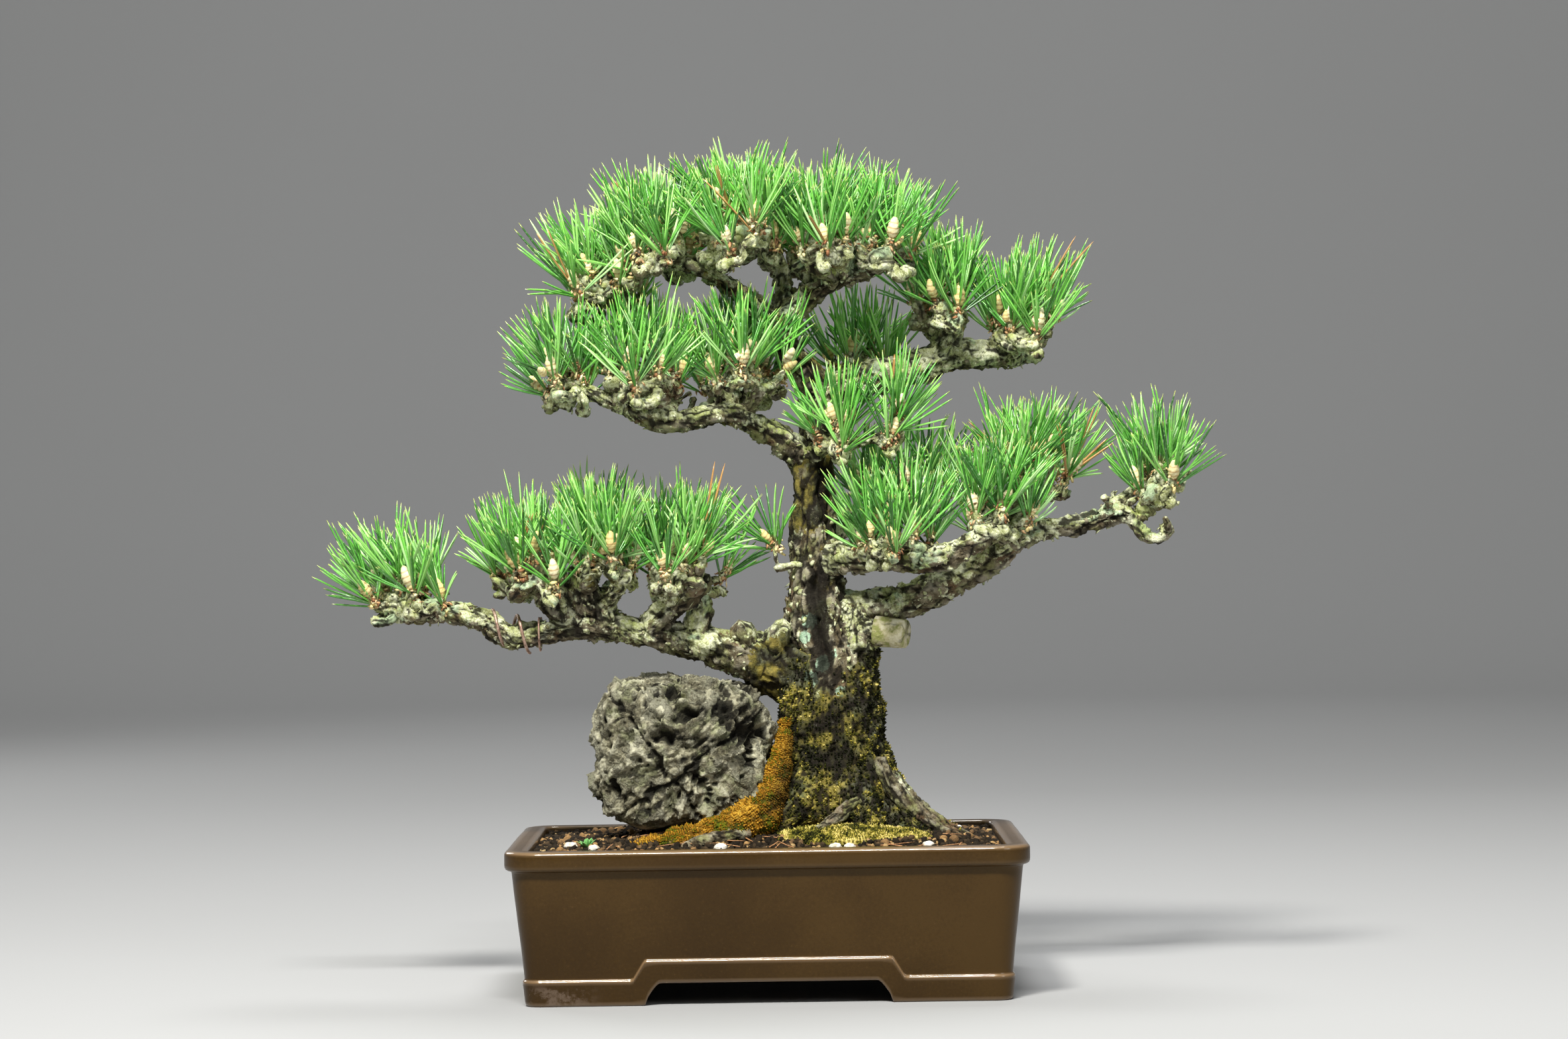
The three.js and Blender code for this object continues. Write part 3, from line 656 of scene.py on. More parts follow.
# millimetres; each bend of a limb is its place and its radius
trunk = {
    "line": [
        (46, 0, 70, 35), (47, 0, 112, 44), (47, 0, 134, 41.5), (45, 0, 159, 35),
        (44, 0, 180, 34.5), (44, 0, 200, 30), (43, 0, 216, 26), (38, 0, 238, 22.5), (35, 0, 264, 19),
        (34, 0, 290, 16.5), (33, 0, 316, 14), (34, 0, 340, 14), (38, 4, 363, 13.5),
        (40, 7, 384, 12.5), (31, 8, 406, 10.5), (17, 4, 427, 9), (11, 0, 446, 8),
    ],
    "columns": [
        [(60, -8, 158, 20), (59, -9, 180, 17), (60, -8, 206, 15), (61, -7, 232, 13),
         (60, -4, 252, 10.5)],
        [(30, -14, 150, 17), (26, -16, 172, 15), (24, -14, 196, 14), (22, -8, 214, 13)],
        [(56, -24, 118, 17), (55, -25, 146, 13), (57, -20, 170, 9)],
        [(33, -28, 112, 17), (31, -27, 138, 12), (30, -22, 160, 8)],
    ],
    "roots": [
        [(62, -4, 152, 20), (76, -8, 130, 16), (94, -12, 113, 11), (118, -18, 100, 7),
         (138, -20, 90, 4)],
        [(58, 12, 142, 22), (72, 28, 120, 17), (86, 44, 105, 12), (104, 62, 92, 7)],
        [(54, -16, 140, 20), (60, -38, 120, 15), (66, -56, 106, 10), (72, -72, 94, 6)],
        [(34, -14, 142, 20), (18, -34, 120, 15), (4, -48, 107, 10), (-14, -62, 96, 6)],
        [(30, 8, 142, 19), (8, 18, 118, 14), (-8, 26, 105, 11), (-30, 36, 92, 7)],
        [(46, 16, 142, 20), (44, 34, 120, 15), (42, 50, 105, 11), (38, 72, 92, 7)],
        [(70, -14, 128, 13), (88, -30, 110, 9), (104, -46, 99, 5)],
    ],
    # thin bare roots that stand out of the moss
    "bareRoots": [
        [(74, -29, 150, 5), (82, -30, 134, 6), (92, -30, 121, 6), (101, -29, 111, 5.5),
         (112, -27, 104, 5), (126, -26, 98, 3.5)],
        [(82, -18, 140, 5), (92, -20, 127, 5.5), (105, -21, 114, 5), (119, -21, 105, 4),
         (136, -23, 97, 3)],
        [(60, -50, 126, 3.5), (53, -55, 121, 4.5), (45, -59, 115, 4.5), (37, -64, 109, 4),
         (28, -69, 103, 3)],
        [(-12, -68, 107, 3.5), (-28, -75, 105, 4.5), (-42, -79, 102, 4.5), (-55, -83, 98, 3)],
    ],
    "stub": [(58, -6, 236, 10), (70, -12, 235, 9.5), (80, -16, 234, 9.5)],
    "stubEnd": [(74, -13.5, 235, 10.6), (82, -16, 234.3, 9.8), (91, -19, 233.6, 9.6),
                (93.5, -20, 233.4, 9.4)],
    # patches of mint lichen: place and size
    "spots": np.array([(29, -19, 243, 6), (26, -20, 232, 5), (37, -26, 214, 6),
                       (30, -24, 204, 6), (50, -30, 196, 4), (46, -28, 222, 4),
                       (56, -24, 228, 4), (8, -8, 232, 6)], float),
    # heights between which moss may stand up in tufts, and above which bark curls in scales
    "mossFrom": 97, "mossTo": 245, "crustFrom": 190, "crustDensity": 0.065, "crustSize": 2.3,
}

bark = barkFinish()


def trunkMoss(places):
    # thick moss low down; it climbs higher on both sides of the trunk than on its front
    x, z = places[..., 0], places[..., 2]
    top = 196 + 30 * smoothStep(9, 22, np.abs(x - 43))
    return 1.0 - 0.78 * smoothStep(top - 14, top + 12, z) + 0.3 * smoothStep(256, 270, z)


def trunkFurrow(places):
    # the deep cleft between the old dark wood and the pale side of the trunk
    x, y, z = places[..., 0], places[..., 1], places[..., 2]
    path = 34.5 + 4 * smoothStep(262, 212, z) + 1.2 * np.sin(z * 0.21)
    depth = 11 * np.exp(-((x - path) / 4.0) ** 2)
    return depth * (y < -1) * smoothStep(203, 216, z) * smoothStep(280, 264, z)


def makeStub(shells):
    # the pruned stub ends in a flat sawn face, and its bare sides show ribs of grain
    def grain(unrolled, places, out):
        # ridges drawn out along the stub
        ribs = ridgedNoise(unrolled * [1, 1, 0.2], 4, 5, 3)
        # with painted shade in the grooves between the ribs
        return 1.1 * (ribs - 0.5), {"sawn": np.ones(ribs.shape),
                                    "crevice": np.clip(3 * (0.42 - ribs), 0, 0.6)}

    points, faces, paint, _, _ = wrapTube(trunk["stubEnd"], 0.6, 64, grain, capRound=0.02)
    shells.add(points, faces, **paint)


def makeTrunk():
    # the main stem, its muscles, roots and stub; gives back where moss is to stand on them
    shells = Shells()
    rng = np.random.default_rng(5)
    mossy = []
    grown = [addLimb(shells, trunk["line"], 1.45, seed=11, lump=0.13, lumpSize=24, knuckle=0.06,
                     knuckleSize=14, flake=1.7, flakeSize=6.5, stretch=0.3, furrow=0.06,
                     lichen=0.26, mossy=trunkMoss, carve=trunkFurrow, spots=trunk["spots"])]
    for i, column in enumerate(trunk["columns"]):
        grown.append(addLimb(shells, column, 1.3, seed=60 + i, lump=0.2, lumpSize=18, knuckle=0.1,
                             knuckleSize=9, flake=1.5, flakeSize=5.5, stretch=0.35,
                             furrow=0.08, lichen=0.54 if i == 0 else 0.3, mossy=trunkMoss,
                             spots=trunk["spots"]))
    for i, root in enumerate(trunk["roots"]):
        grown.append(addLimb(shells, root, 1.5, seed=20 + i, lump=0.2, knuckle=0.12, flake=1.1,
                             flakeSize=5, stretch=0.4, furrow=0.07, mossy=trunkMoss,
                             lichen=0.3))
    for i, root in enumerate(trunk["bareRoots"]):
        addLimb(shells, root, 1.0, seed=50 + i, lump=0.3, knuckle=0.1, flake=0.8, flakeSize=3.6,
                stretch=0.3, lichen=0.06, crackle=0.5)
    addLimb(shells, trunk["stub"], 1.2, seed=31, lichen=0.6)
    makeStub(shells)
    for grid, out, paint in grown:
        # the painted crevice shade, which also keeps crust out of the crevices and darkens the moss
        # tufts standing in them
        hollowShade = paint["crevice"].ravel()
        damp = (paint["moss"].ravel() > 0.5) & (grid[:, 2] > trunk["mossFrom"])
        above = (grid[:, 2] > trunk["crustFrom"]) & (hollowShade < 0.45) & ~damp
        damp = damp & (grid[:, 2] < trunk["mossTo"])
        addCrust(shells, grid[above], out[above], rng, trunk["crustDensity"], trunk["crustSize"])
        mossy.append((grid[damp], out[damp], hollowShade[damp]))
    shells.piece("trunk_wood", bark, "bark", "trunk")
    return mossy


branches = {
    "first_left_branch": [
        [(24, -2, 205, 22), (-4, -5, 216, 18.5), (-26, -10, 225, 14.5), (-50, -14, 231, 11.5),
         (-76, -18, 236, 10.5), (-101, -22, 241, 9.5), (-122, -25, 242, 9), (-148, -28, 237, 8.6),
         (-166, -30, 235, 9), (-186, -32, 246, 7.5), (-214, -34, 254, 6), (-241, -36, 259, 4)],
        [(-48, -14, 232, 11), (-42, -18, 254, 8.5), (-54, -22, 278, 6)],
        [(-104, -22, 244, 11), (-119, -24, 262, 13.5), (-118, -26, 280, 9)],
        [(-126, -25, 243, 9), (-138, -26, 262, 12), (-149, -28, 276, 7)],
        [(-76, -20, 240, 10), (-62, -24, 254, 9.5), (-46, -26, 264, 8), (-38, -26, 272, 6)],
        [(-14, -12, 229, 9.5), (-15, -17, 236, 9), (-16, -18, 240, 7.5)],
        [(6, -14, 226, 8), (10, -18, 235, 8), (12, -18, 242, 5)],
    ],
    "first_right_branch": [
        [(42, 2, 246, 15), (71, 0, 250, 13.5), (97, -4, 255, 12), (128, -8, 271, 11.5),
         (154, -12, 286, 10.5), (177, -14, 300, 8.5), (211, -14, 304, 7), (236, -14, 311, 6),
         (250, -14, 309, 5), (264, -14, 320, 4), (278, -14, 332, 3)],
        [(160, -12, 292, 9), (170, -6, 312, 8), (176, -2, 334, 5.5)],
        [(226, -14, 309, 6), (240, -6, 320, 5), (252, -2, 330, 3.5)],
        [(244, -14, 309, 4.5), (252, -16, 298, 3.6), (262, -16, 294, 3.2), (270, -15, 302, 3)],
    ],
    "right_front_branch": [
        [(40, -4, 283, 12), (66, -24, 285, 10.5), (91, -42, 283, 9.5), (116, -52, 284, 9),
         (140, -52, 294, 7.5), (152, -48, 306, 5)],
        [(74, -30, 286, 9), (82, -44, 296, 6)],
    ],
    "back_branch": [
        [(36, 4, 298, 11), (56, 34, 308, 8.5), (76, 58, 318, 6.5), (92, 76, 328, 4.5)],
    ],
    "second_left_branch": [
        [(34, 2, 343, 12), (15, -8, 362, 9.5), (2, -14, 369, 8), (-12, -20, 378, 7.5),
         (-26, -24, 380, 7.5), (-47, -30, 377, 8), (-60, -34, 376, 8), (-81, -36, 381, 7),
         (-94, -40, 388, 6), (-108, -42, 394, 4.5), (-131, -46, 402, 2.5)],
        [(-24, -24, 381, 7), (-18, -12, 394, 6), (-12, -4, 406, 4.5)],
        [(-58, -33, 378, 7), (-68, -24, 392, 6), (-76, -18, 404, 4.5)],
    ],
    "front_branch": [
        [(32, -2, 352, 8), (41, -25, 358, 5.5), (60, -38, 360, 4.5), (76, -44, 363, 3.5)],
    ],
    "upper_right_branch": [
        [(38, 7, 388, 12), (66, 14, 402, 11.5), (104, 22, 411, 10.5), (140, 28, 420, 10),
         (169, 30, 420, 7.5), (188, 30, 416, 3.5)],
        [(118, 24, 414, 9), (126, 20, 434, 9), (124, 16, 452, 5.5)],
        [(66, 16, 402, 7), (70, 36, 404, 6), (72, 50, 412, 4)],
    ],
    "crown_left_branch": [
        [(14, 1, 436, 8.5), (-7, -6, 456, 7), (-24, -9, 469, 6.5), (-51, -10, 482, 6),
         (-79, -10, 480, 5), (-102, -10, 470, 3)],
    ],
    "crown_right_branch": [
        [(13, 1, 440, 8.5), (35, -6, 460, 7), (55, -12, 470, 6.5), (75, -16, 475, 5),
         (94, -18, 484, 3)],
    ],
    "crown_top_branch": [
        [(11, 0, 443, 7), (16, 6, 470, 6), (4, 12, 492, 5), (-14, 12, 508, 3.5)],
    ],
    "crown_back_branch": [
        [(12, 2, 441, 7), (30, 26, 462, 5.5), (40, 50, 478, 4)],
    ],
}

# each pad of needles: the branch it grows on, how many tufts, which way it leans, and for some
# how much higher its middle stands and how far along X it is moved
pads = {
    "needles_left_tip": {"branch": "first_left_branch", "tufts": 8, "lean": -0.42},
    "needles_left_outer": {"branch": "first_left_branch", "tufts": 11, "lean": -0.25},
    "needles_left_middle": {"branch": "first_left_branch", "tufts": 12, "lean": -0.05},
    "needles_left_inner": {"branch": "first_left_branch", "tufts": 12, "lean": 0.2},
    "needles_trunk_shoot": {"branch": "trunk", "tufts": 1, "lean": -0.6},
    "needles_right_low_front": {"branch": "right_front_branch", "tufts": 9, "lean": -0.05},
    "needles_right_middle": {"branch": "right_front_branch", "tufts": 7, "lean": 0.1},
    "needles_right_outer": {"branch": "first_right_branch", "tufts": 10, "lean": 0.15},
    "needles_right_tip": {"branch": "first_right_branch", "tufts": 6, "lean": -0.05},
    "needles_back": {"branch": "back_branch", "tufts": 9, "lean": 0.1},
    "needles_second_left_outer": {"branch": "second_left_branch", "tufts": 6, "lean": -0.35},
    "needles_second_left_middle": {"branch": "second_left_branch", "tufts": 14, "lean": -0.1},
    "needles_second_left_inner": {"branch": "second_left_branch", "tufts": 14, "lean": 0.0},
    "needles_front": {"branch": "front_branch", "tufts": 4, "lean": 0.0},
    "needles_front_right": {"branch": "front_branch", "tufts": 3, "lean": 0.35},
    "needles_upper_right_inner": {"branch": "upper_right_branch", "tufts": 10, "lean": -0.05},
    "needles_upper_right_outer": {"branch": "upper_right_branch", "tufts": 11, "lean": 0.15},
    "needles_upper_back": {"branch": "upper_right_branch", "tufts": 6, "lean": -0.1},
    "needles_crown_left_tip": {"branch": "crown_left_branch", "tufts": 10, "lean": -0.25,
                               "shift": 6},
    "needles_crown_left": {"branch": "crown_left_branch", "tufts": 15, "lean": -0.1, "dome": 24,
                           "shift": 4},
    "needles_crown_middle": {"branch": "crown_top_branch", "tufts": 20, "lean": 0.0, "dome": 32},
    "needles_crown_right": {"branch": "crown_right_branch", "tufts": 17, "lean": 0.05, "dome": 24,
                            "shift": -6},
    "needles_crown_right_tip": {"branch": "crown_right_branch", "tufts": 9, "lean": 0.05,
                                "shift": -24},
}

# lengths in millimetres, angles in degrees; dead is the share of pairs that turned brown
needle = {
    "length": 50, "width": 1.7, "pairs": 12, "twigDepth": 18, "padDome": 17, "splay": 0.36,
    "lowestOpen": 54, "highestOpen": 10, "dead": 0.012, "strayReach": 5,
    "steps": np.array([0.0, 0.14, 0.45, 0.75, 0.92, 1.0]),
    "taper": np.array([0.7, 1.0, 1.05, 1.0, 0.72, 0.15]),
    "corners": np.array([0.52, 2.62, 4.71]),
}


def padTufts(name, seed):
    # tufts on a sunflower spiral inside the CAD pad's box, the outer ones lower, leaning out
    low, high = (np.array(c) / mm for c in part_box(name))
    spec = pads[name]
    lean, dome = spec["lean"], spec.get("dome", needle["padDome"])
    middle = (low + high) / 2
    middle[0] += spec.get("shift", 0) - lean * needle["length"] * 0.6
    reach = np.maximum((high - low)[:2] / 2 - 0.36 * needle["length"] - abs(lean) * 6, 1.5)
    rng = np.random.default_rng(seed)
    number = np.arange(spec["tufts"])
    out = np.sqrt((number + 0.5) / spec["tufts"])
    turn = number * goldenTurn + rng.uniform(0, fullTurn)
    sideways, backwards = out * np.cos(turn), out * np.sin(turn)
    base = np.stack([
        middle[0] + reach[0] * sideways,
        middle[1] + reach[1] * backwards,
        low[2] + needle["twigDepth"] - 2 + dome * (0.55 - out * out) + 0.06 * dome * backwards,
    ], -1) + rng.normal(0, 1, (spec["tufts"], 3)) * [2.5, 2.5, 2.5]
    axis = np.stack([lean + needle["splay"] * sideways, needle["splay"] * backwards,
                     np.ones(spec["tufts"])], -1)
    axis = unit(axis + rng.normal(0, 0.16, axis.shape))
    return base, axis, low, high


def needleBlades(base, axis, low, high, rng, pairs, length, width):
    # needles in pairs: base + direction * t + bend * t * t, with a three-sided section that
    # tapers to a point; an array of needles by rings by sides
    tufts = len(base)
    count = tufts * pairs
    tuft = np.repeat(np.arange(tufts), pairs)
    order = np.tile(np.arange(pairs), tufts)
    side = unit(np.cross(axis, [0.3, 1.0, 0.1]))
    front = np.cross(axis, side)
    turn = order * goldenTurn + rng.normal(0, 0.5, count) + tuft
    climb = order / pairs
    lowest, highest = needle["lowestOpen"], needle["highestOpen"]
    openness = np.radians(lowest - (lowest - highest) * climb) + rng.normal(0, 0.2, count)
    around = side[tuft] * np.cos(turn)[:, None] + front[tuft] * np.sin(turn)[:, None]
    ahead = axis[tuft] * np.cos(openness)[:, None] + around * np.sin(openness)[:, None]
    ahead = unit(ahead + np.array([0, 0, 0.2]))
    start = base[tuft] + axis[tuft] * (climb * 9 - 2)[:, None] + around * 1.5
    reach = length * rng.uniform(0.7, 1.12, count) * rng.uniform(0.88, 1.1, tufts)[tuft]
    slack = rng.uniform(-6, needle["strayReach"], (count, 3)) * [1, 1, 1.8]
    room = np.where(ahead > 0, high + slack - start, start - low + slack) / np.maximum(
        np.abs(ahead), 0.05)
    reach = np.clip(room.min(axis=1), 0.5 * length, reach)
    start, ahead, reach = (np.repeat(a, 2, axis=0) for a in (start, ahead, reach))
    sign = np.tile([1.0, -1.0], count)
    twist = np.repeat(unit(np.cross(ahead[::2], rng.normal(0, 1, (count, 3)))), 2, axis=0)
    apart = rng.uniform(0.02, 0.11, count).repeat(2)
    ahead = unit(ahead + twist * (sign * apart)[:, None])
    reach = reach * rng.uniform(0.93, 1.03, count * 2)
    share = needle["steps"]
    bend = np.repeat(rng.normal(0, 1, (count, 3)) + [0, 0, 0.7], 2, axis=0) * 2.6
    spine = (start[:, None] + ahead[:, None] * (share[:, None] * reach[:, None, None])
             + bend[:, None] * (share ** 2)[:, None])
    wide = width / 2 * needle["taper"]
    grid = bladeGrid(spine, twist, np.cross(ahead, twist), wide)
    return grid, share, rng.uniform(0, 1, count).repeat(2)


def bladeGrid(spine, aside, normal, wide):
    # three corners round each step of each spine: aside * cos + normal * sin, times its width
    angle = needle["corners"]
    section = aside[:, None] * np.cos(angle)[:, None] + normal[:, None] * np.sin(angle)[:, None]
    return spine[:, :, None] + section[:, None] * wide[:, None, None]


def bladeFaces(count, rings, sides):
    # four-cornered faces round every needle, with a triangle over each end
    ring = np.arange(rings - 1)[:, None] * sides
    side = np.arange(sides)[None, :]
    after = (side + 1) % sides
    quads = np.stack([ring + side, ring + after, ring + sides + after, ring + sides + side], -1)
    last = (rings - 1) * sides
    caps = np.array([[2, 1, 0], [last, last + 1, last + 2]])
    step = (np.arange(count) * rings * sides)[:, None, None]
    return [(quads.reshape(1, -1, 4) + step).reshape(-1, 4), (caps + step).reshape(-1, 3)]


def needleFinish():
    # green by the needle's own tint, brown at its sheath, yellow at its tip, with pale streaks of
    # painted sheen
    finish = Finish("needles", Roughness=0.3, Specular_IOR_Level=0.8)
    along, tint, age = (finish.painted(k) for k in ("along", "tint", "age"))
    green = finish.ramp(tint, (0.0, (0.022, 0.11, 0.014)), (0.26, (0.085, 0.34, 0.04)),
                        (0.58, (0.20, 0.61, 0.08)), (0.84, (0.38, 0.80, 0.18)),
                        (1.0, (0.56, 0.90, 0.38)))
    green = finish.mix((1 - along.between(0.1, 0.8)) * 0.35, green, (0.05, 0.20, 0.03))
    green = finish.mix(along.between(0.9, 1.0) * 0.8, green, (0.50, 0.50, 0.13))
    green = finish.mix((1 - along.between(0.02, 0.12)) * 0.85, green, (0.56, 0.40, 0.22))
    # painted sheen: pale streaks by noise, which also make a fine bump
    sheenStreak = finish.noise(420, 3, 0.6)
    green = finish.mix(sheenStreak.between(0.52, 0.72) * 0.32, green, (0.62, 0.90, 0.48))
    green = finish.mix(age, green, (0.50, 0.27, 0.085))
    return finish.finish(Base_Color=green, Normal=finish.bump(sheenStreak, 0.0002, 0.4))


def makeNeedles():
    # one piece for each CAD pad; gives back where every tuft stands and which way it points
    finish = needleFinish()
    tuftPlaces = {}
    for i, name in enumerate(pads):
        rng = np.random.default_rng(100 + i)
        base, axis, low, high = padTufts(name, 300 + i)
        tuftPlaces[name] = (base, axis)
        grid, share, tint = needleBlades(base, axis, low, high, rng, needle["pairs"],
                                         needle["length"], needle["width"])
        shape = count, rings, sides = grid.shape[:3]
        dead = np.repeat(rng.uniform(0, 1, count // 2) < needle["dead"], 2)
        shells = Shells()
        shells.add(grid, bladeFaces(count, rings, sides),
                   along=np.broadcast_to(share[None, :, None], shape),
                   tint=np.broadcast_to(tint[:, None, None], shape),
                   age=np.broadcast_to(dead[:, None, None], shape))
        shells.piece(name.replace("needles", "tufts"), finish, "needles", name)
    return tuftPlaces


# share is how many tufts carry a bud, and twins how many of those carry a second, smaller one
bud = {"length": 14, "width": 7.8, "share": 0.9, "twins": 0.35, "papers": 36}


def budShape():
    # a plump pointed bud: a profile turned about its axis, with scales in spiral steps
    share = np.linspace(0.04, 1, 9)
    turn = np.arange(10) / 10 * fullTurn
    profile = np.sin(share ** 0.75 * math.pi * 0.93) ** 0.7 * 0.5
    scales = 1 + 0.14 * np.sin(5 * turn[None] + 9 * share[:, None] * math.pi)
    rings = np.stack([profile[:, None] * scales * np.cos(turn),
                      profile[:, None] * scales * np.sin(turn),
                      np.repeat(share[:, None], 10, axis=1)], -1)
    points = np.vstack([rings.reshape(-1, 3), [[0, 0, 0]], [[0, 0, 1.06]]])
    return points, tubeFaces(9, 10), np.concatenate([np.repeat(share, 10), [0, 1]])


def budFinish():
    # red-brown to cream by tint and speckle, with painted shade between the scales
    finish = Finish("bud_scales", Roughness=0.7, Specular_IOR_Level=0.3)
    tint, crease = finish.painted("tint"), finish.painted("crease")
    speck = finish.noise(620, 4, 0.65)
    tone = finish.ramp(tint * 0.6 + speck * 0.4, (0.2, (0.22, 0.085, 0.035)),
                       (0.36, (0.52, 0.27, 0.12)), (0.52, (0.80, 0.62, 0.36)),
                       (0.62, (0.84, 0.68, 0.26)), (0.8, (0.96, 0.88, 0.58)))
    # painted shade in the creases between the scales
    tone = finish.mix(crease.between(0.2, 0.6) * 0.75, tone, (0.42, 0.22, 0.06))
    return finish.finish(Base_Color=tone, Normal=finish.bump(speck, 0.0006, 0.7))


def makeBuds(tuftPlaces):
    # buds stood at the middle of the tufts, and papery scales strewn round each of them
    finish = budFinish()
    buds, papers = Shells(), Shells()
    rng = np.random.default_rng(41)
    base = np.concatenate([b for b, _ in tuftPlaces.values()])
    axis = np.concatenate([a for _, a in tuftPlaces.values()])
    points, faces, share = budShape()
    kept = rng.uniform(0, 1, len(base)) < bud["share"]
    for extra in range(2):
        chosen = kept if extra == 0 else kept & (rng.uniform(0, 1, len(base)) < bud["twins"])
        count = chosen.sum()
        scale = rng.uniform(0.75, 1.12, (count, 1)) * (1 - 0.25 * extra)
        up = unit(axis[chosen] + rng.normal(0, 0.12 + 0.3 * extra, (count, 3)))
        start = base[chosen] + axis[chosen] * 4 + rng.normal(0, 0.2 + 3 * extra, (count, 3))
        scatter(buds, points, faces, start, scale * [bud["width"], bud["width"], bud["length"]],
                standingTurns(up, rng), tint=rng.uniform(0.7, 1, count))
        # painted shade in rings up the bud, in the creases between its scales
        buds.paint[-1][1]["crease"] = np.tile(0.25 + 0.35 * np.sin(share * 28), count)
    buds.piece("winter_buds", finish, "needles")
    tuft = np.repeat(np.arange(len(base)), bud["papers"])
    count = len(tuft)
    around = unit(rng.normal(0, 1, (count, 3)))
    places = base[tuft] + around * rng.uniform(1.2, 6.0, (count, 1))
    places = places + axis[tuft] * rng.uniform(-5, 5, (count, 1))
    up = unit(around + axis[tuft] * 0.6)
    sizes = rng.uniform([1.2, 0.7, 0.4], [3.2, 1.6, 1.8], (count, 3))
    template, flakes = flakeShape()
    scatter(papers, template, flakes, places, sizes, standingTurns(up, rng),
            tint=rng.uniform(0, 0.95, count), crease=0.0)
    papers.piece("bud_papers", finish, "needles")


def twigLine(start, end, rng, thick, sag=0.16, ends=0.6):
    # a crooked twig: a straight run from start to end, pushed aside at each bend
    length = np.linalg.norm(end - start)
    steps = int(np.clip(length / 9, 4, 8))
    share = np.linspace(0, 1, steps)[:, None]
    hold = np.sin(share * math.pi)
    kink = rng.normal(0, 0.085 * length + 0.8, (steps, 3)) * hold
    middle = start + (end - start) * share + kink - np.array([0, 0, sag * length]) * hold
    radius = thick * (1 - (1 - ends) * share) * rng.uniform(0.8, 1.3, (steps, 1))
    return np.hstack([middle, radius])


def nearestOn(skeleton, place):
    # the step of a skeleton nearest a place, with heights counted at 0.8
    away = np.linalg.norm((skeleton[:, :3] - place) * [1, 1, 0.8], axis=1)
    return skeleton[np.argmin(away)]


# tufts to a fork, how far under them it ends, and radii in millimetres; stubs to a step of
# skeleton; the share of neighbours that old crossing twigs link
twigs = {
    "perFork": 3, "forkDrop": 15, "forkGirth": 5.6, "twigGirth": 3.5, "stubs": 0.1,
    "linkDrop": 8, "linkGirth": 3.7, "linkShare": 0.62, "shootGirth": 0.5,
    "crustDensity": 0.065, "crustSize": 1.8,
}


def growTwigs(shells, grown, skeleton, bases, axes, rng, girth=1.0):
    # tufts are gathered by the direction they lie in; each bunch hangs on one fork
    bunches = max(len(bases) // twigs["perFork"], 1)
    middle = bases.mean(axis=0)
    turn = np.arctan2(bases[:, 1] - middle[1], bases[:, 0] - middle[0])
    order = np.argsort(turn)
    for bunch in np.array_split(order, bunches):
        target = bases[bunch].mean(axis=0) - [0, 0, twigs["forkDrop"]]
        root = nearestOn(skeleton, target)
        thick = girth * min(twigs["forkGirth"], 0.85 * root[3])
        fork = twigLine(root[:3], target, rng, thick, 0.05, 0.8)
        grown.append(addLimb(shells, fork, 1.25, seed=int(rng.integers(1, 9999)), lump=0.34,
                             knuckle=0.2, knuckleSize=8, flake=0.8, flakeSize=4, stretch=0.4,
                             lichen=0.76, crackle=0.25))
        line = smoothLine(fork, 3)[0]
        for base, axis in zip(bases[bunch], axes[bunch]):
            start = nearestOn(line, base)
            twig = twigLine(start[:3], base + axis * 3, rng, girth * twigs["twigGirth"], 0.1, 0.72)
            grown.append(addLimb(shells, twig, 1.3, seed=int(rng.integers(1, 9999)), lump=0.3,
                                 knuckle=0.28, knuckleSize=6, flake=0.6, flakeSize=3.4,
                                 lichen=0.78, crackle=0.25))
    # old crossing twigs between neighbouring tufts, which make the pad's knotted floor
    for i, base in enumerate(bases):
        order = np.argsort(np.linalg.norm(bases - base, axis=1))[1:3]
        for other in bases[order]:
            if rng.uniform() > twigs["linkShare"]:
                continue
            drop = [0, 0, twigs["linkDrop"] + rng.uniform(-3, 6)]
            link = twigLine(base - drop, other - drop, rng, twigs["linkGirth"], 0.1, 0.9)
            grown.append(addLimb(shells, link, 1.35, seed=int(rng.integers(1, 9999)), lump=0.35,
                                 knuckle=0.3, knuckleSize=7, flake=0.7, flakeSize=3.8,
                                 lichen=0.78, crackle=0.25))


def shoulderMoss(places):
    # moss spreads from the trunk onto the start of the lowest branches
    x, z = places[..., 0], places[..., 2]
    return 0.2 + 0.75 * smoothStep(-26, 4, x) * smoothStep(246, 226, z)


def makeBranches(tuftPlaces):
    # each branch in one piece: its limbs, short dead stubs, the twigs of its pads, and crust
    for i, (name, limbs) in enumerate(branches.items()):
        shells = Shells()
        rng = np.random.default_rng(700 + i)
        grown = []
        for j, bends in enumerate(limbs):
            grown.append(addLimb(shells, bends, 1.2, seed=200 + 10 * i + j, lump=0.34,
                                 lumpSize=15, knuckle=0.14, knuckleSize=11, flake=1.5,
                                 flakeSize=6.2, stretch=0.4, furrow=0.05, lichen=0.6,
                                 crackle=0.62, mossy=shoulderMoss))
        skeleton = np.vstack([smoothLine(limb, 4)[0] for limb in limbs])
        for _ in range(int(len(skeleton) * twigs["stubs"])):
            root = skeleton[rng.integers(4, len(skeleton))]
            way = unit(rng.normal(0, 1, 3) * [1, 1, 0.4] + [0, 0, 0.8])
            stub = twigLine(root[:3], root[:3] + way * (root[3] + rng.uniform(5, 14)), rng, 3.0)
            grown.append(addLimb(shells, stub, 1.2, seed=int(rng.integers(1, 9999)), lump=0.3,
                                 knuckle=0.25, knuckleSize=6, flake=0.6, flakeSize=3.4,
                                 lichen=0.66, crackle=0.3))
        for pad, (bases, axes) in tuftPlaces.items():
            if pads[pad]["branch"] == name:
                growTwigs(shells, grown, skeleton, bases, axes, rng)
        for grid, out, paint in grown:
            clear = (paint["crevice"].ravel() < 0.4) & (paint["moss"].ravel() < 0.5)
            addCrust(shells, grid[clear], out[clear], rng, twigs["crustDensity"],
                     twigs["crustSize"])
        shells.piece(name + "_wood", bark, "bark", name)


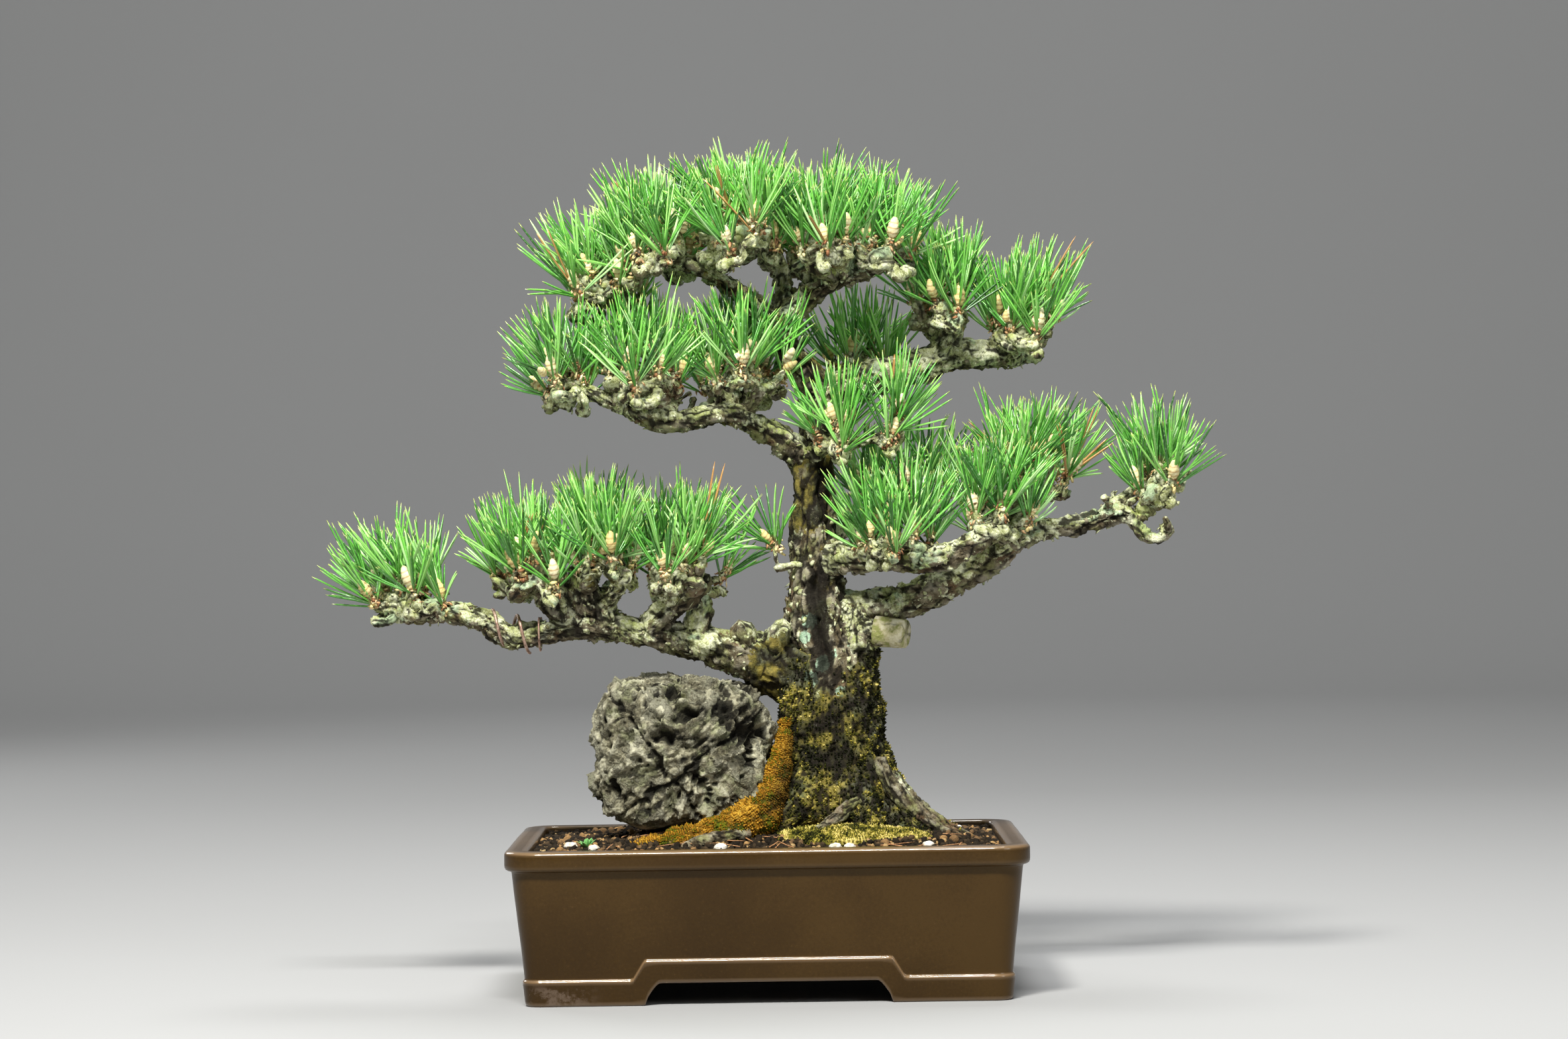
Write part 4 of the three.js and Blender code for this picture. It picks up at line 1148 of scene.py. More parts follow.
def makeTrunkShoot(tuftPlaces):
    # the thin twig that carries the one tuft on the trunk
    shells = Shells()
    rng = np.random.default_rng(55)
    bases, axes = tuftPlaces["needles_trunk_shoot"]
    skeleton = np.array([[34, 0, z, 12] for z in range(280, 300, 4)], float)
    growTwigs(shells, [], skeleton, bases, axes, rng, twigs["shootGirth"])
    shells.piece("trunk_shoot_wood", bark, "bark")


# the rock's box, and how many millimetres each kind of relief stands out or is cut in
rock = {
    "centre": (-55, -28, 156), "half": (60, 38, 51), "squareness": 1.75, "slant": 38,
    "rings": 185, "sides": 350, "slabs": 4.2, "chips": 1.5, "folds": 5.0, "wrinkles": 2.6,
    "caves": 9.0, "holes": 3.0, "cracks": 3.2,
}


def rockFinish():
    # grey-beige by cloud and grain, pale on its crests, with painted shade near black in its pits and
    # the troughs of its fine crinkles, and a painted shadow over its upper right side
    finish = Finish("rock", Roughness=0.9, Specular_IOR_Level=0.25)
    pit, crest = finish.painted("pit"), finish.painted("crest")
    cloud = finish.noise(38, 5, 0.6)
    grain = finish.noise(420, 5, 0.7)
    tone = finish.ramp(cloud * 0.5 + grain * 0.5, (0.38, (0.065, 0.058, 0.032)),
                       (0.46, (0.175, 0.16, 0.10)), (0.53, (0.35, 0.33, 0.22)),
                       (0.62, (0.60, 0.58, 0.42)))
    tone = finish.mix(finish.noise(60, 4, 0.6).between(0.5, 0.62) * 0.45, tone,
                      (0.25, 0.28, 0.13))
    tone = finish.mix(crest.between(0.45, 0.95) * 0.5, tone, (0.60, 0.58, 0.43))
    crinkle = finish.noise(105, 6, 0.62) - 0.5
    crinkle = crinkle.sum("ABSOLUTE", crinkle)
    # painted shade in the troughs of the fine crinkles, then near black in the pits
    tone = finish.mix((1 - crinkle.between(0.0, 0.04)) * 0.45, tone, (0.045, 0.038, 0.022))
    tone = finish.mix(pit.between(0.2, 0.8) * 0.95, tone, (0.014, 0.012, 0.007))
    relief = finish.bump(crinkle * 4, 0.003, 0.9, under=finish.bump(grain + cloud, 0.0018, 0.9))
    return finish.finish(Base_Color=tone, Normal=relief)


def makeRock():
    # a squared-off ball: half sizes * direction / norm, then wrinkles, pits and long cracks
    shells = Shells()
    way = ballWays(rock["rings"], rock["sides"])
    power = 2 * rock["squareness"]
    norm = (np.abs(way) ** power).sum(-1, keepdims=True) ** (1 / power)
    x, y, z = way.T
    dent = 1 + 0.04 * (np.sin(4 * x + 3 * z + 1) + np.sin(5 * y - 4 * z + 2)
                        + 0.6 * np.sin(9 * x - 7 * z + 3 * y + 1))
    waist = np.stack([1 - 0.2 * np.maximum(0, -z)] * 2 + [np.ones(len(z))], -1)
    places = np.array(rock["half"]) * waist * way / norm * dent[:, None]
    out = unit(places / np.array(rock["half"]) ** 2)
    wander = np.stack([layeredNoise(places, 16, 500 + k, 3) for k in range(3)], -1)
    bent = places + 5 * wander
    x, y, z = places.T
    # tilted slabs in two sizes, then folds and wrinkles drawn out down a slant
    slab, edge, _ = flakeNoise(bent, 25, 505)
    chip, rim, _ = flakeNoise(bent * [1, 1, 0.8], 10, 507)
    slant = np.radians(rock["slant"])
    turned = np.stack([(bent[:, 0] * np.cos(slant) + bent[:, 2] * np.sin(slant)) * 0.4, bent[:, 1],
                       bent[:, 2] * np.cos(slant) - bent[:, 0] * np.sin(slant)], -1)
    folds = ridgedNoise(turned, 13, 510, 4)
    wrinkle = ridgedNoise(turned * [0.7, 1, 1] + 1.5 * wander, 4.6, 520, 3)
    # hollows, mostly high on the right side, and two long cracks
    region = smoothStep(-22, 26, x) * smoothStep(-16, 22, z)
    cave = smoothStep(0.12, 0.42, layeredNoise(bent, 15, 560, 3) + 0.3 * region - 0.12)
    holes = smoothStep(0.45, 0.2, cellNoise(bent, 7, 540)[0])
    holes = holes * (layeredNoise(places, 26, 545, 2) > 0)
    crack = np.minimum(np.abs(places @ np.array([0.55, 0.1, -0.75]) + 6 * wander[:, 0] - 4),
                       np.abs(places @ np.array([0.7, 0.1, 0.5]) + 7 * wander[:, 2] + 16))
    crack = 1 - smoothStep(0.5, 2.2, crack)
    rise = (rock["slabs"] * slab + rock["chips"] * chip + rock["folds"] * (folds - 0.5)
            + rock["wrinkles"] * (wrinkle - 0.5) - rock["caves"] * cave
            - rock["holes"] * holes - rock["cracks"] * crack)
    # smooth where it stands in the soil
    rise = rise * smoothStep(-48, -38, z) - 1.5
    points = np.array(rock["centre"]) + places + out * rise[:, None]
    # painted shade in caves, holes, cracks and the troughs of folds and wrinkles, and a painted shadow
    # where region is high, on the upper right side
    pit = np.clip(1.3 * cave + 1.0 * holes + 1.1 * crack + 1.8 * (0.42 - folds) + 0.3 * region
                  + 1.9 * (0.42 - wrinkle) + 0.25 * (1 - edge) + 0.3 * (1 - rim), 0, 1)
    crest = np.clip(0.3 + 0.5 * chip + 0.8 * (folds - 0.4) + 0.8 * (wrinkle - 0.4) - cave, 0, 1)
    shells.add(points, tubeFaces(rock["rings"], rock["sides"]), pit=pit, crest=crest)
    shells.piece("companion_rock", rockFinish(), "rock", "rock")


def mossFinish():
    # orange to green in patches, with painted shade in the creases between cushions and a painted
    # shadow where the bank runs into the cleft by the trunk
    finish = Finish("moss", Roughness=0.95, Specular_IOR_Level=0.15)
    tint, depth = finish.painted("tint"), finish.painted("depth")
    patch = finish.noise(52, 5, 0.62)
    speck = finish.noise(520, 4, 0.7)
    tone = finish.ramp(tint * 0.16 + speck * 0.22 + patch * 0.62, (0.40, (0.035, 0.045, 0.003)),
                       (0.45, (0.12, 0.14, 0.006)), (0.49, (0.16, 0.085, 0.005)),
                       (0.54, (0.32, 0.145, 0.009)), (0.63, (0.54, 0.33, 0.04)))
    # depth is painted shade in the creases and painted shadow in the cleft, mixed towards near black
    tone = finish.mix(depth * 0.9, tone, (0.025, 0.016, 0.004))
    return finish.finish(Base_Color=tone, Normal=finish.bump(speck, 0.001, 0.8))


def barkMossFinish():
    # olive to yellow in patches, near black in some patches and where painted shade from the bark's
    # crevices lowers the tint
    finish = Finish("bark_moss", Roughness=0.95, Specular_IOR_Level=0.15)
    tint = finish.painted("tint")
    patch = finish.noise(62, 5, 0.62)
    speck = finish.noise(480, 4, 0.7)
    tone = finish.ramp(tint * 0.2 + speck * 0.1 + patch * 0.7, (0.40, (0.007, 0.008, 0.001)),
                       (0.455, (0.034, 0.036, 0.005)), (0.505, (0.115, 0.108, 0.013)),
                       (0.56, (0.33, 0.27, 0.042)), (0.62, (0.68, 0.56, 0.18)))
    return finish.finish(Base_Color=tone, Normal=finish.bump(speck, 0.001, 0.8))


def addMossTufts(shells, grid, out, rng, count, size, hollowShade=None, depth=None):
    # pointed tufts stood on a mossy surface, with painted shade: darker where they sit in crevices,
    # and depth carries a painted shadow where one is given
    pick = rng.integers(0, len(grid), count)
    up = unit(out[pick] + rng.normal(0, 0.35, (count, 3)) + [0, 0, 0.2])
    sizes = size * rng.uniform(0.6, 1.35, (count, 1))
    sizes = sizes * rng.uniform([0.45, 0.45, 0.7], [0.8, 0.8, 1.6], (count, 3))
    template, faces = spikeShape()
    # painted shade: tufts standing in crevices get a lower tint
    sunkShade = 0.0 if hollowShade is None else hollowShade[pick]
    scatter(shells, template, faces, grid[pick], sizes, standingTurns(up, rng),
            tint=np.clip(rng.uniform(0.25, 1, count) - 1.3 * sunkShade, 0, 1),
            depth=0.0 if depth is None else depth[pick])


# the bank is a limb of moss, the mat a flat cushion; cushion and tuft sizes in millimetres
moss = {
    "bank": [(14, -22, 176, 2.5), (10, -32, 156, 6), (3, -43, 135, 9.5), (-6, -52, 118, 13.5),
             (-28, -61, 105, 11), (-56, -68, 100, 9), (-88, -71, 97, 4.5)],
    "bankCushion": 9, "bankHeight": 4.4, "bankTufts": 9500, "bankTuft": 1.25,
    "matCentre": (54, -60, 100), "matHalf": (50, 24, 9), "matRings": 60, "matSides": 130,
    "matCushion": 7, "matHeight": 2.0, "matTufts": 6500, "matTuft": 1.2,
    "trunkTufts": 22500, "trunkTuft": 1.4,
}


def mossRelief(size, height):
    # cushions with creases between them, over a slow swell
    def relief(unrolled, places, out):
        # the rise at each point, its cushion's tint, and how deep in a crease it lies, which is
        # painted as shade
        near, second, name, _ = cellNoise(places, size, 610)
        little = cellNoise(places, size * 0.4, 620)
        rise = height * (0.7 - near) + 0.35 * height * (0.6 - little[0])
        rise = rise + height * 0.8 * layeredNoise(places, size * 3, 630, 2)
        # painted shade in the creases between cushions
        crease = 1 - smoothStep(0.0, 0.3, second - near)
        return rise, {"tint": name, "depth": np.clip(0.8 * crease, 0, 1)}
    return relief


def makeMoss(mossy):
    # the bank between the stone and the trunk, the mat before it, and tufts on mossy bark
    rng = np.random.default_rng(61)
    bank = Shells()
    points, faces, paint, grid, out = wrapTube(
        moss["bank"], 1.4, 56, mossRelief(moss["bankCushion"], moss["bankHeight"]))
    # painted shadow: dark where it runs up into the cleft between the stone and the trunk, on the
    # trunk's side and higher up
    line = np.array(moss["bank"])[3::-1]
    beside = (points[:, 0] - np.interp(points[:, 2], line[:, 2], line[:, 0])) / 7
    cleftShadow = smoothStep(-0.5, 1.2, beside) * smoothStep(104, 128, points[:, 2])
    cleftShadow = cleftShadow * np.clip(0.7 + 0.8 * layeredNoise(points, 12, 640, 3), 0, 1)
    paint["depth"] = np.clip(paint["depth"] + cleftShadow, 0, 1)
    bank.add(points, faces, **paint)
    addMossTufts(bank, grid.reshape(-1, 3), out.reshape(-1, 3), rng, moss["bankTufts"],
                 moss["bankTuft"], depth=0.9 * cleftShadow[:-2])
    bank.piece("moss_cushions", mossFinish(), "moss", "moss_bank")
    # a flattened ball with a wavy outline
    mat = Shells()
    way = ballWays(moss["matRings"], moss["matSides"])
    around = np.arctan2(way[:, 1], way[:, 0])
    uneven = (1 + 0.1 * np.sin(3 * around + 1) + 0.07 * np.sin(5 * around + 4)
              + 0.05 * np.sin(11 * around))
    places = np.array(moss["matCentre"]) + way * moss["matHalf"] * np.stack(
        [uneven, uneven, np.ones(len(way))], -1)
    out = unit(way / moss["matHalf"])
    rise, paint = mossRelief(moss["matCushion"], moss["matHeight"])(None, places, out)
    places = places + out * rise[:, None]
    mat.add(places, tubeFaces(moss["matRings"], moss["matSides"]), **paint)
    above = out[:, 2] > 0.1
    finishOnBark = barkMossFinish()
    addMossTufts(mat, places[above], out[above], rng, moss["matTufts"], moss["matTuft"])
    mat.piece("moss_mat_cushions", finishOnBark, "moss", "moss_mat")
    tufts = Shells()
    grid, out, hollowShade = (np.concatenate(part) for part in zip(*mossy))
    addMossTufts(tufts, grid, out, rng, moss["trunkTufts"], moss["trunkTuft"], hollowShade)
    tufts.piece("trunk_moss", finishOnBark, "moss")


# the walls are pairs of height and inset, from the tray's floor up to the mound's edge
soil = {
    "edge": 95, "crown": 109, "centre": (28, 4), "halfX": 153.3, "halfY": 109.3, "corner": 8,
    "walls": [(23.35, -10), (24, -8.6), (28, -6.3), (50, -4), (80, -1), (92, 0), (95, 0.5)],
    "rings": 50, "clod": 1.3, "spreadX": 151, "spreadY": 107.5,
    "grit": 6600, "gritSize": 1.7, "gravel": 54, "gravelSize": 2.7,
}


def soilHeight(x, y):
    # the mound: crown height at its centre, falling to the edge as (1 - out^2)^1.3, where out
    # is how far out of the way to the wall a place lies
    out = np.full(np.shape(x), 0.5)
    for _ in range(6):
        px = np.abs(x - soil["centre"][0] * (1 - out)) / soil["halfX"]
        py = np.abs(y - soil["centre"][1] * (1 - out)) / soil["halfY"]
        out = (px ** 5 + py ** 5) ** 0.2
    rise = np.maximum(1 - out * out, 0) ** 1.3
    return soil["edge"] + (soil["crown"] - soil["edge"]) * rise


def soilFinish():
    # near-black to tan by each grain's own tint
    finish = Finish("soil", Roughness=0.95, Specular_IOR_Level=0.2)
    tint = finish.painted("tint")
    speck = finish.noise(500, 4, 0.7)
    tone = finish.ramp(tint * 0.85 + speck * 0.15, (0.10, (0.010, 0.007, 0.004)),
                       (0.5, (0.028, 0.019, 0.010)), (0.68, (0.07, 0.045, 0.022)),
                       (0.78, (0.17, 0.10, 0.045)), (0.86, (0.38, 0.22, 0.085)),
                       (0.92, (0.44, 0.32, 0.15)), (0.97, (0.70, 0.58, 0.36)))
    return finish.finish(Base_Color=tone, Normal=finish.bump(speck, 0.0012, 0.9))


def outlinePoints(halfX, halfY, radius, breaks=None, step=1.7):
    # a rounded rectangle walked anticlockwise from the middle of the right side, with the
    # outward direction at each point; breaks are stretches of a side walked in finer steps
    def side(half, marks):
        # places along a side, in even steps between its marks
        edges = sorted({-half, half, *(m for m in marks if abs(m) < half)})
        run = []
        for a, b in zip(edges, edges[1:]):
            fine = 0.45 if b - a < 16 else step
            run.append(np.linspace(a, b, max(int((b - a) / fine), 2), endpoint=False))
        return np.concatenate(run)

    marksX, marksY = breaks or ((), ())
    turn = np.linspace(0, math.pi / 2, 11)[:-1]
    arc = np.stack([np.cos(turn), np.sin(turn)], -1)
    sideY = side(halfY - radius, marksY)
    sideX = side(halfX - radius, marksX)
    right = np.stack([np.full(len(sideY), halfX), sideY], -1)
    top = np.stack([-sideX, np.full(len(sideX), halfY)], -1)
    points, outward = [], []
    for flip in (1, -1):
        points += [flip * right, flip * (np.array([halfX - radius, halfY - radius]) + arc * radius),
                   flip * top,
                   flip * (np.array([radius - halfX, halfY - radius])
                           + np.stack([-arc[:, 1], arc[:, 0]], -1) * radius)]
        outward += [np.tile([flip, 0.0], (len(right), 1)), flip * arc,
                    np.tile([0.0, flip], (len(top), 1)),
                    flip * np.stack([-arc[:, 1], arc[:, 0]], -1)]
    return np.concatenate(points), np.concatenate(outward)


def makeSoil():
    # the root ball's walls and cloddy mound, then grains of grit and gravel strewn over it
    shells = Shells()
    base, outward = outlinePoints(soil["halfX"], soil["halfY"], soil["corner"], step=2.2)
    walls = soil["walls"]
    rings = [np.column_stack([base + outward * inset, np.full(len(base), z)])
             for z, inset in walls]
    for out in np.linspace(0.99, 0.02, soil["rings"]):
        flat = base * out + np.array(soil["centre"]) * (1 - out)
        rings.append(np.column_stack([flat, soilHeight(flat[:, 0], flat[:, 1])]))
    grid = np.array(rings)
    clod = layeredNoise(grid, 9, 650, 3)
    grid[len(walls):, :, 2] += (soil["clod"] * clod)[len(walls):]
    poles = np.array([[0, 0, walls[0][0]], [*soil["centre"], soil["crown"]]])
    tint = np.concatenate([np.clip(0.35 + 0.4 * clod, 0, 0.6).ravel(), [0.3, 0.3]])
    shells.add(np.concatenate([grid.reshape(-1, 3), poles]), tubeFaces(len(grid), len(base)),
               tint=tint)
    rng = np.random.default_rng(66)
    count = soil["grit"]
    x = rng.uniform(-soil["spreadX"], soil["spreadX"], count)
    y = soil["spreadY"] - rng.uniform(0, 1, count) ** 0.85 * 2 * soil["spreadY"]
    z = soilHeight(x, y)
    template, faces = ballShape()
    template = template * (1 + 0.16 * rng.normal(0, 1, (12, 1)))
    size = soil["gritSize"] * rng.uniform(0.55, 1.5, (count, 1)) ** 1.2
    sizes = size * rng.uniform(0.65, 1.2, (count, 3))
    scatter(shells, template, faces, np.stack([x, y, z + 0.3 * size[:, 0]], -1), sizes,
            anyTurns(count, rng), tint=rng.uniform(0.05, 1.0, count) ** 1.4)
    # tan gravel, most of it towards the two ends of the tray
    count = soil["gravel"]
    template = ballWays(8, 12)
    template = template * (1 + 0.16 * softNoise(template * 2.2, 1, 660))[:, None]
    x = rng.choice([-1, 1], count) * rng.uniform(0.35, 0.97, count) * 150
    y = rng.uniform(-104, 60, count)
    sizes = soil["gravelSize"] * rng.uniform(0.5, 1.4, (count, 1))
    sizes = sizes * rng.uniform(0.6, 1.2, (count, 3))
    scatter(shells, template, tubeFaces(8, 12), np.stack([x, y, soilHeight(x, y) + 1.4], -1),
            sizes, anyTurns(count, rng), tint=rng.uniform(0.8, 1.0, count))
    shells.piece("potting_soil", soilFinish(), "soil", "soil")


pebbles = [f"pebble_{number}" for number in range(1, 8)]


def pebbleFinish():
    # off-white with tan veins and stains
    finish = Finish("pebble", Roughness=0.75, Specular_IOR_Level=0.35)
    vein = finish.noise(240, 5, 0.6)
    tone = finish.ramp(vein, (0.35, (0.48, 0.40, 0.28)), (0.5, (0.72, 0.68, 0.58)),
                       (0.65, (0.88, 0.86, 0.80)))
    tone = finish.mix(finish.noise(90, 3, 0.6).between(0.55, 0.7) * 0.6, tone,
                      (0.42, 0.30, 0.18))
    return finish.finish(Base_Color=tone, Normal=finish.bump(vein, 0.0008, 0.7))


def makePebbles():
    # each pebble is a ball squashed to its CAD node's box, with worn facets and chips
    finish = pebbleFinish()
    rings, sides = 26, 44
    way = ballWays(rings, sides)
    for i, name in enumerate(pebbles):
        near, second, tilted, _ = cellNoise(way * 2.0 + 10 * i, 1.3, 670)
        rise = 1.0 + 0.22 * (0.6 - near) + 0.08 * softNoise(way * 3, 1, 680 + i)
        low, high = (np.array(c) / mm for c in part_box(name))
        shells = Shells()
        points = (low + high) / 2 + way * (high - low) / 2 * rise[:, None]
        shells.add(points, tubeFaces(rings, sides))
        shells.piece(name.replace("pebble", "white_pebble"), finish, "pebbles", name)


debris = {"needles": 46, "needleRadius": 0.62, "weed": (-117, -72), "leaves": 9, "leafLength": 11}


def makeDebris():
    # fallen needles lying on the soil, and a small weed by the rock
    shells = Shells()
    rng = np.random.default_rng(71)
    count = debris["needles"]
    x, y = rng.uniform(-140, 140, count), rng.uniform(-98, -30, count)
    turn = rng.uniform(0, fullTurn, count)
    share = np.array([0.0, 0.2, 0.5, 0.8, 1.0])
    length = rng.uniform(9, 26, count)
    ahead = np.stack([np.cos(turn), np.sin(turn), np.zeros(count)], -1)
    aside = np.stack([-np.sin(turn), np.cos(turn), np.zeros(count)], -1)
    spine = (np.stack([x, y, np.zeros(count)], -1)[:, None]
             + ahead[:, None] * (share[:, None] * length[:, None, None])
             + aside[:, None] * (2.0 * share ** 2)[:, None])
    spine[..., 0] = np.clip(spine[..., 0], -148, 148)
    spine[..., 2] = soilHeight(spine[..., 0], spine[..., 1]) + 2.2
    upward = np.tile([0, 0, 1.0], (count, 1))
    grid = bladeGrid(spine, aside, upward, debris["needleRadius"] * np.array([1, 1, 1, 0.8, 0.2]))
    shells.add(grid, bladeFaces(count, 5, 3), tint=0.2, crease=0.2)
    shells.piece("fallen_needles", bpy.data.materials["bud_scales"], "needles")
    weed = Shells()
    leaves = debris["leaves"]
    turn = np.arange(leaves) * goldenTurn
    foot = np.array([*debris["weed"], float(soilHeight(*np.array(debris["weed"], float)))])
    share = np.linspace(0, 1, 6)
    lean = 0.6 + 0.3 * np.sin(np.arange(leaves) * 2.1)
    ahead = unit(np.stack([np.cos(turn) * lean, np.sin(turn) * lean, np.ones(leaves)], -1))
    aside = unit(np.cross(ahead, [0, 0, 1.0]))
    spine = (foot + ahead[:, None] * (share * debris["leafLength"])[:, None]
             - np.array([0, 0, 3.0]) * (share ** 2)[:, None])
    wide = 1.9 * np.array([0.25, 0.6, 1.0, 0.95, 0.6, 0.12])
    grid = bladeGrid(spine, aside, 0.35 * np.cross(aside, ahead), wide)
    weed.add(grid, bladeFaces(leaves, 6, 3), tint=0.6,
             along=np.broadcast_to(share[None, :, None] * 0.6 + 0.2, grid.shape[:3]))
    weed.piece("weed_sprig", bpy.data.materials["needles"], "moss")


# millimetres; the rim is a profile of height, offset from the wall, and how pale the glaze
# breaks on that edge, from under the rim over its top and down inside to the tray's floor
tray = {
    "footHalfX": 155.0, "footHalfY": 111.0, "corner": 9.0, "rimBase": 87.0, "lean": 9.5,
    "longGap": 79.5, "shortGap": 47.0, "clearance": 14.4, "cove": 9.5, "relief": 1.6,
    "bandTop": 16.8, "apronTop": 29.5, "slope": 7.5, "floor": 23.0,
    "rim": [(86.6, 0.3, 0), (87.0, 1.2, 0), (87.3, 2.6, 0), (88.0, 3.7, 0.1), (89.4, 4.4, 0.1),
            (91, 4.5, 0), (94, 4.5, 0), (96.6, 4.5, 0), (97.8, 4.42, 0.3), (98.5, 4.15, 0.9),
            (99.05, 3.7, 1.0), (99.45, 3.1, 1.0), (99.75, 2.3, 1.0), (99.93, 1.2, 0.8),
            (100, -1.5, 0.3), (100, -6, 0.2), (99.9, -8.2, 0.6), (99.3, -9.7, 0.8),
            (98, -10.4, 0.3), (94, -10.5, 0), (87, -10.5, 0), (60, -10.5, 0), (28, -10.5, 0),
            (24, -12.4, 0), (23, -16, 0), (23, -60, 0)],
}


def glazeFinish():
    # clouded brown that breaks paler on the edges, where it is glossiest, with a worn corner foot
    finish = Finish("tray_glaze", Specular_IOR_Level=0.28, Coat_Roughness=0.1, Coat_IOR=1.8,
                    Specular_Tint=(1.0, 0.74, 0.42, 1.0))
    edge, foot = finish.painted("edge"), finish.painted("foot")
    cloud = finish.noise(9, 3, 0.5)
    speck = finish.noise(520, 4, 0.7)
    tone = finish.ramp(cloud * 0.7 + speck * 0.3, (0.40, (0.026, 0.0125, 0.0026)),
                       (0.5, (0.034, 0.0170, 0.0036)), (0.60, (0.046, 0.024, 0.0055)))
    tone = finish.mix(speck.between(0.62, 0.74) * 0.3, tone, (0.10, 0.055, 0.02))
    tone = finish.mix(edge * 0.75, tone, (0.24, 0.15, 0.075))
    dull = foot * finish.noise(60, 5, 0.7).between(0.46, 0.58)
    tone = finish.mix(dull * 0.55, tone, (0.17, 0.125, 0.095))
    rough = 0.30 + 0.14 * speck + 0.25 * dull
    swell = finish.noise(30, 2, 0.5)
    surface = finish.bump(swell, 0.0012, 0.3, under=finish.bump(speck, 0.0002, 0.3))
    return finish.finish(Base_Color=tone, Roughness=rough, Normal=surface,
                         Coat_Weight=(edge * 0.9 + 0.08 - 0.08 * dull).clipped())


def makeTray():
    # rings of a rounded rectangle from the underside out, up the wall, over the rim and down
    # inside; each ring is outline + outward * offset, its height following the feet's outline
    gapX, gapY = tray["longGap"], tray["shortGap"]
    marks = [tuple(s * (g + d) for s in (-1, 1) for d in (-11, 9)) for g in (gapX, gapY)]
    base, outward = outlinePoints(tray["footHalfX"], tray["footHalfY"], tray["corner"], marks)
    alongLong = np.abs(outward[:, 1]) > 0.999
    alongShort = np.abs(outward[:, 0]) > 0.999
    place = np.where(alongLong, np.abs(base[:, 0]), np.where(alongShort, np.abs(base[:, 1]), 999))
    gap = np.where(alongLong, gapX, gapY)
    coved = place - gap + tray["cove"]
    run = np.array([-1.2, 0.4, 1.6, 3.5, 6.0, 8.2, 9.5])
    foot = tray["clearance"] * np.interp(coved, run, [1.0, 0.98, 0.93, 0.78, 0.54, 0.3, 0.0])
    run = tray["slope"] * np.array([-0.12, 0.04, 0.96, 1.12])
    step = np.interp(place - gap, run, [1.0, 0.95, 0.05, 0.0])
    band = tray["bandTop"] + (tray["apronTop"] - tray["bandTop"]) * step
    rows, paintEdge, paintFoot = [], [], []

    def row(z, offset, edge=0.0, low=0.0):
        # one ring: the outline moved outward by the wall's lean at that height and an offset
        z = np.broadcast_to(z, len(base))
        lean = tray["lean"] * np.clip(z / tray["rimBase"], 0, 1)
        rows.append(np.column_stack([base + outward * (lean + offset)[:, None], z]))
        paintEdge.append(np.full(len(base), edge))
        worn = smoothStep(-104, -132, base[:, 0]) * smoothStep(-60, -100, base[:, 1])
        paintFoot.append(low * worn * smoothStep(15, 10, z))

    recess = tray["clearance"] + 0.5
    relief = tray["relief"]
    row(recess, -40)
    row(recess, -17.5)
    row(foot + 0.3, -17, 0, 1)
    row(foot, -16.2, 0, 1)
    row(foot, relief - 1.6, 0.2, 1)
    row(foot + 0.5, relief - 0.5, 0.6, 1)
    row(foot + 1.6, relief, 0.4, 1)
    for share in np.linspace(0.12, 0.88, 6):
        row(foot + 1.6 + (band - foot - 3.4) * share, relief, 0, 1)
    for drop, offset, edge in ((1.9, 0, 0.25), (1.1, -0.12, 0.8), (0.5, -0.45, 1.0), (0, -1.0, 0.9),
                               (-0.5, -1.4, 0.4), (-1.4, -1.6, 0.0)):
        row(band - drop, relief + offset, edge, 0.5)
    for share in np.linspace(0, 1, 26)[1:]:
        row(band + 1.4 + (tray["rimBase"] - 1.4 - band - 1.4) * share, 0)
    for z, offset, edge in tray["rim"]:
        row(z, offset, edge)
    grid = np.array(rows)
    normal = np.column_stack([outward, np.zeros(len(base))])
    ripple = 0.45 * layeredNoise(grid, 38, 690, 2) + 0.12 * layeredNoise(grid, 9, 695, 2)
    ripple[:4] = 0
    ripple[-8:] = 0
    grid = grid + normal * ripple[..., None]
    poles = np.array([[0, 0, recess], [0, 0, tray["floor"]]])
    shells = Shells()
    shells.add(np.concatenate([grid.reshape(-1, 3), poles]), tubeFaces(len(grid), len(base)),
               edge=np.concatenate([np.ravel(paintEdge), [0, 0]]),
               foot=np.concatenate([np.ravel(paintFoot), [0, 0]]))
    shells.piece("glazed_tray", glazeFinish(), "tray_glaze", "tray")


# one wire wound along the branch and a thinner tie round it; girth is a radius
wires = {
    "girth": 1.05,
    "start": (-183, -31.5, 243.5), "end": (-155, -29, 236), "turns": 1.75, "reach": 11.2,
    "tieMiddle": (-149, -28, 237), "tieTurns": 1.2, "tieReach": 10.8, "tieGirth": 0.7,
}


def wireFinish():
    # dulled copper: the more tarnish, the rougher and the less metallic
    finish = Finish("copper_wire", Specular_IOR_Level=0.5)
    tarnish = finish.noise(330, 4, 0.6)
    tone = finish.ramp(tarnish, (0.35, (0.20, 0.115, 0.085)), (0.5, (0.42, 0.27, 0.20)),
                       (0.68, (0.62, 0.46, 0.36)))
    return finish.finish(Base_Color=tone, Roughness=0.35 + 0.3 * tarnish,
                         Metallic=0.9 - 0.5 * tarnish, Normal=finish.bump(tarnish, 0.0003, 0.5))


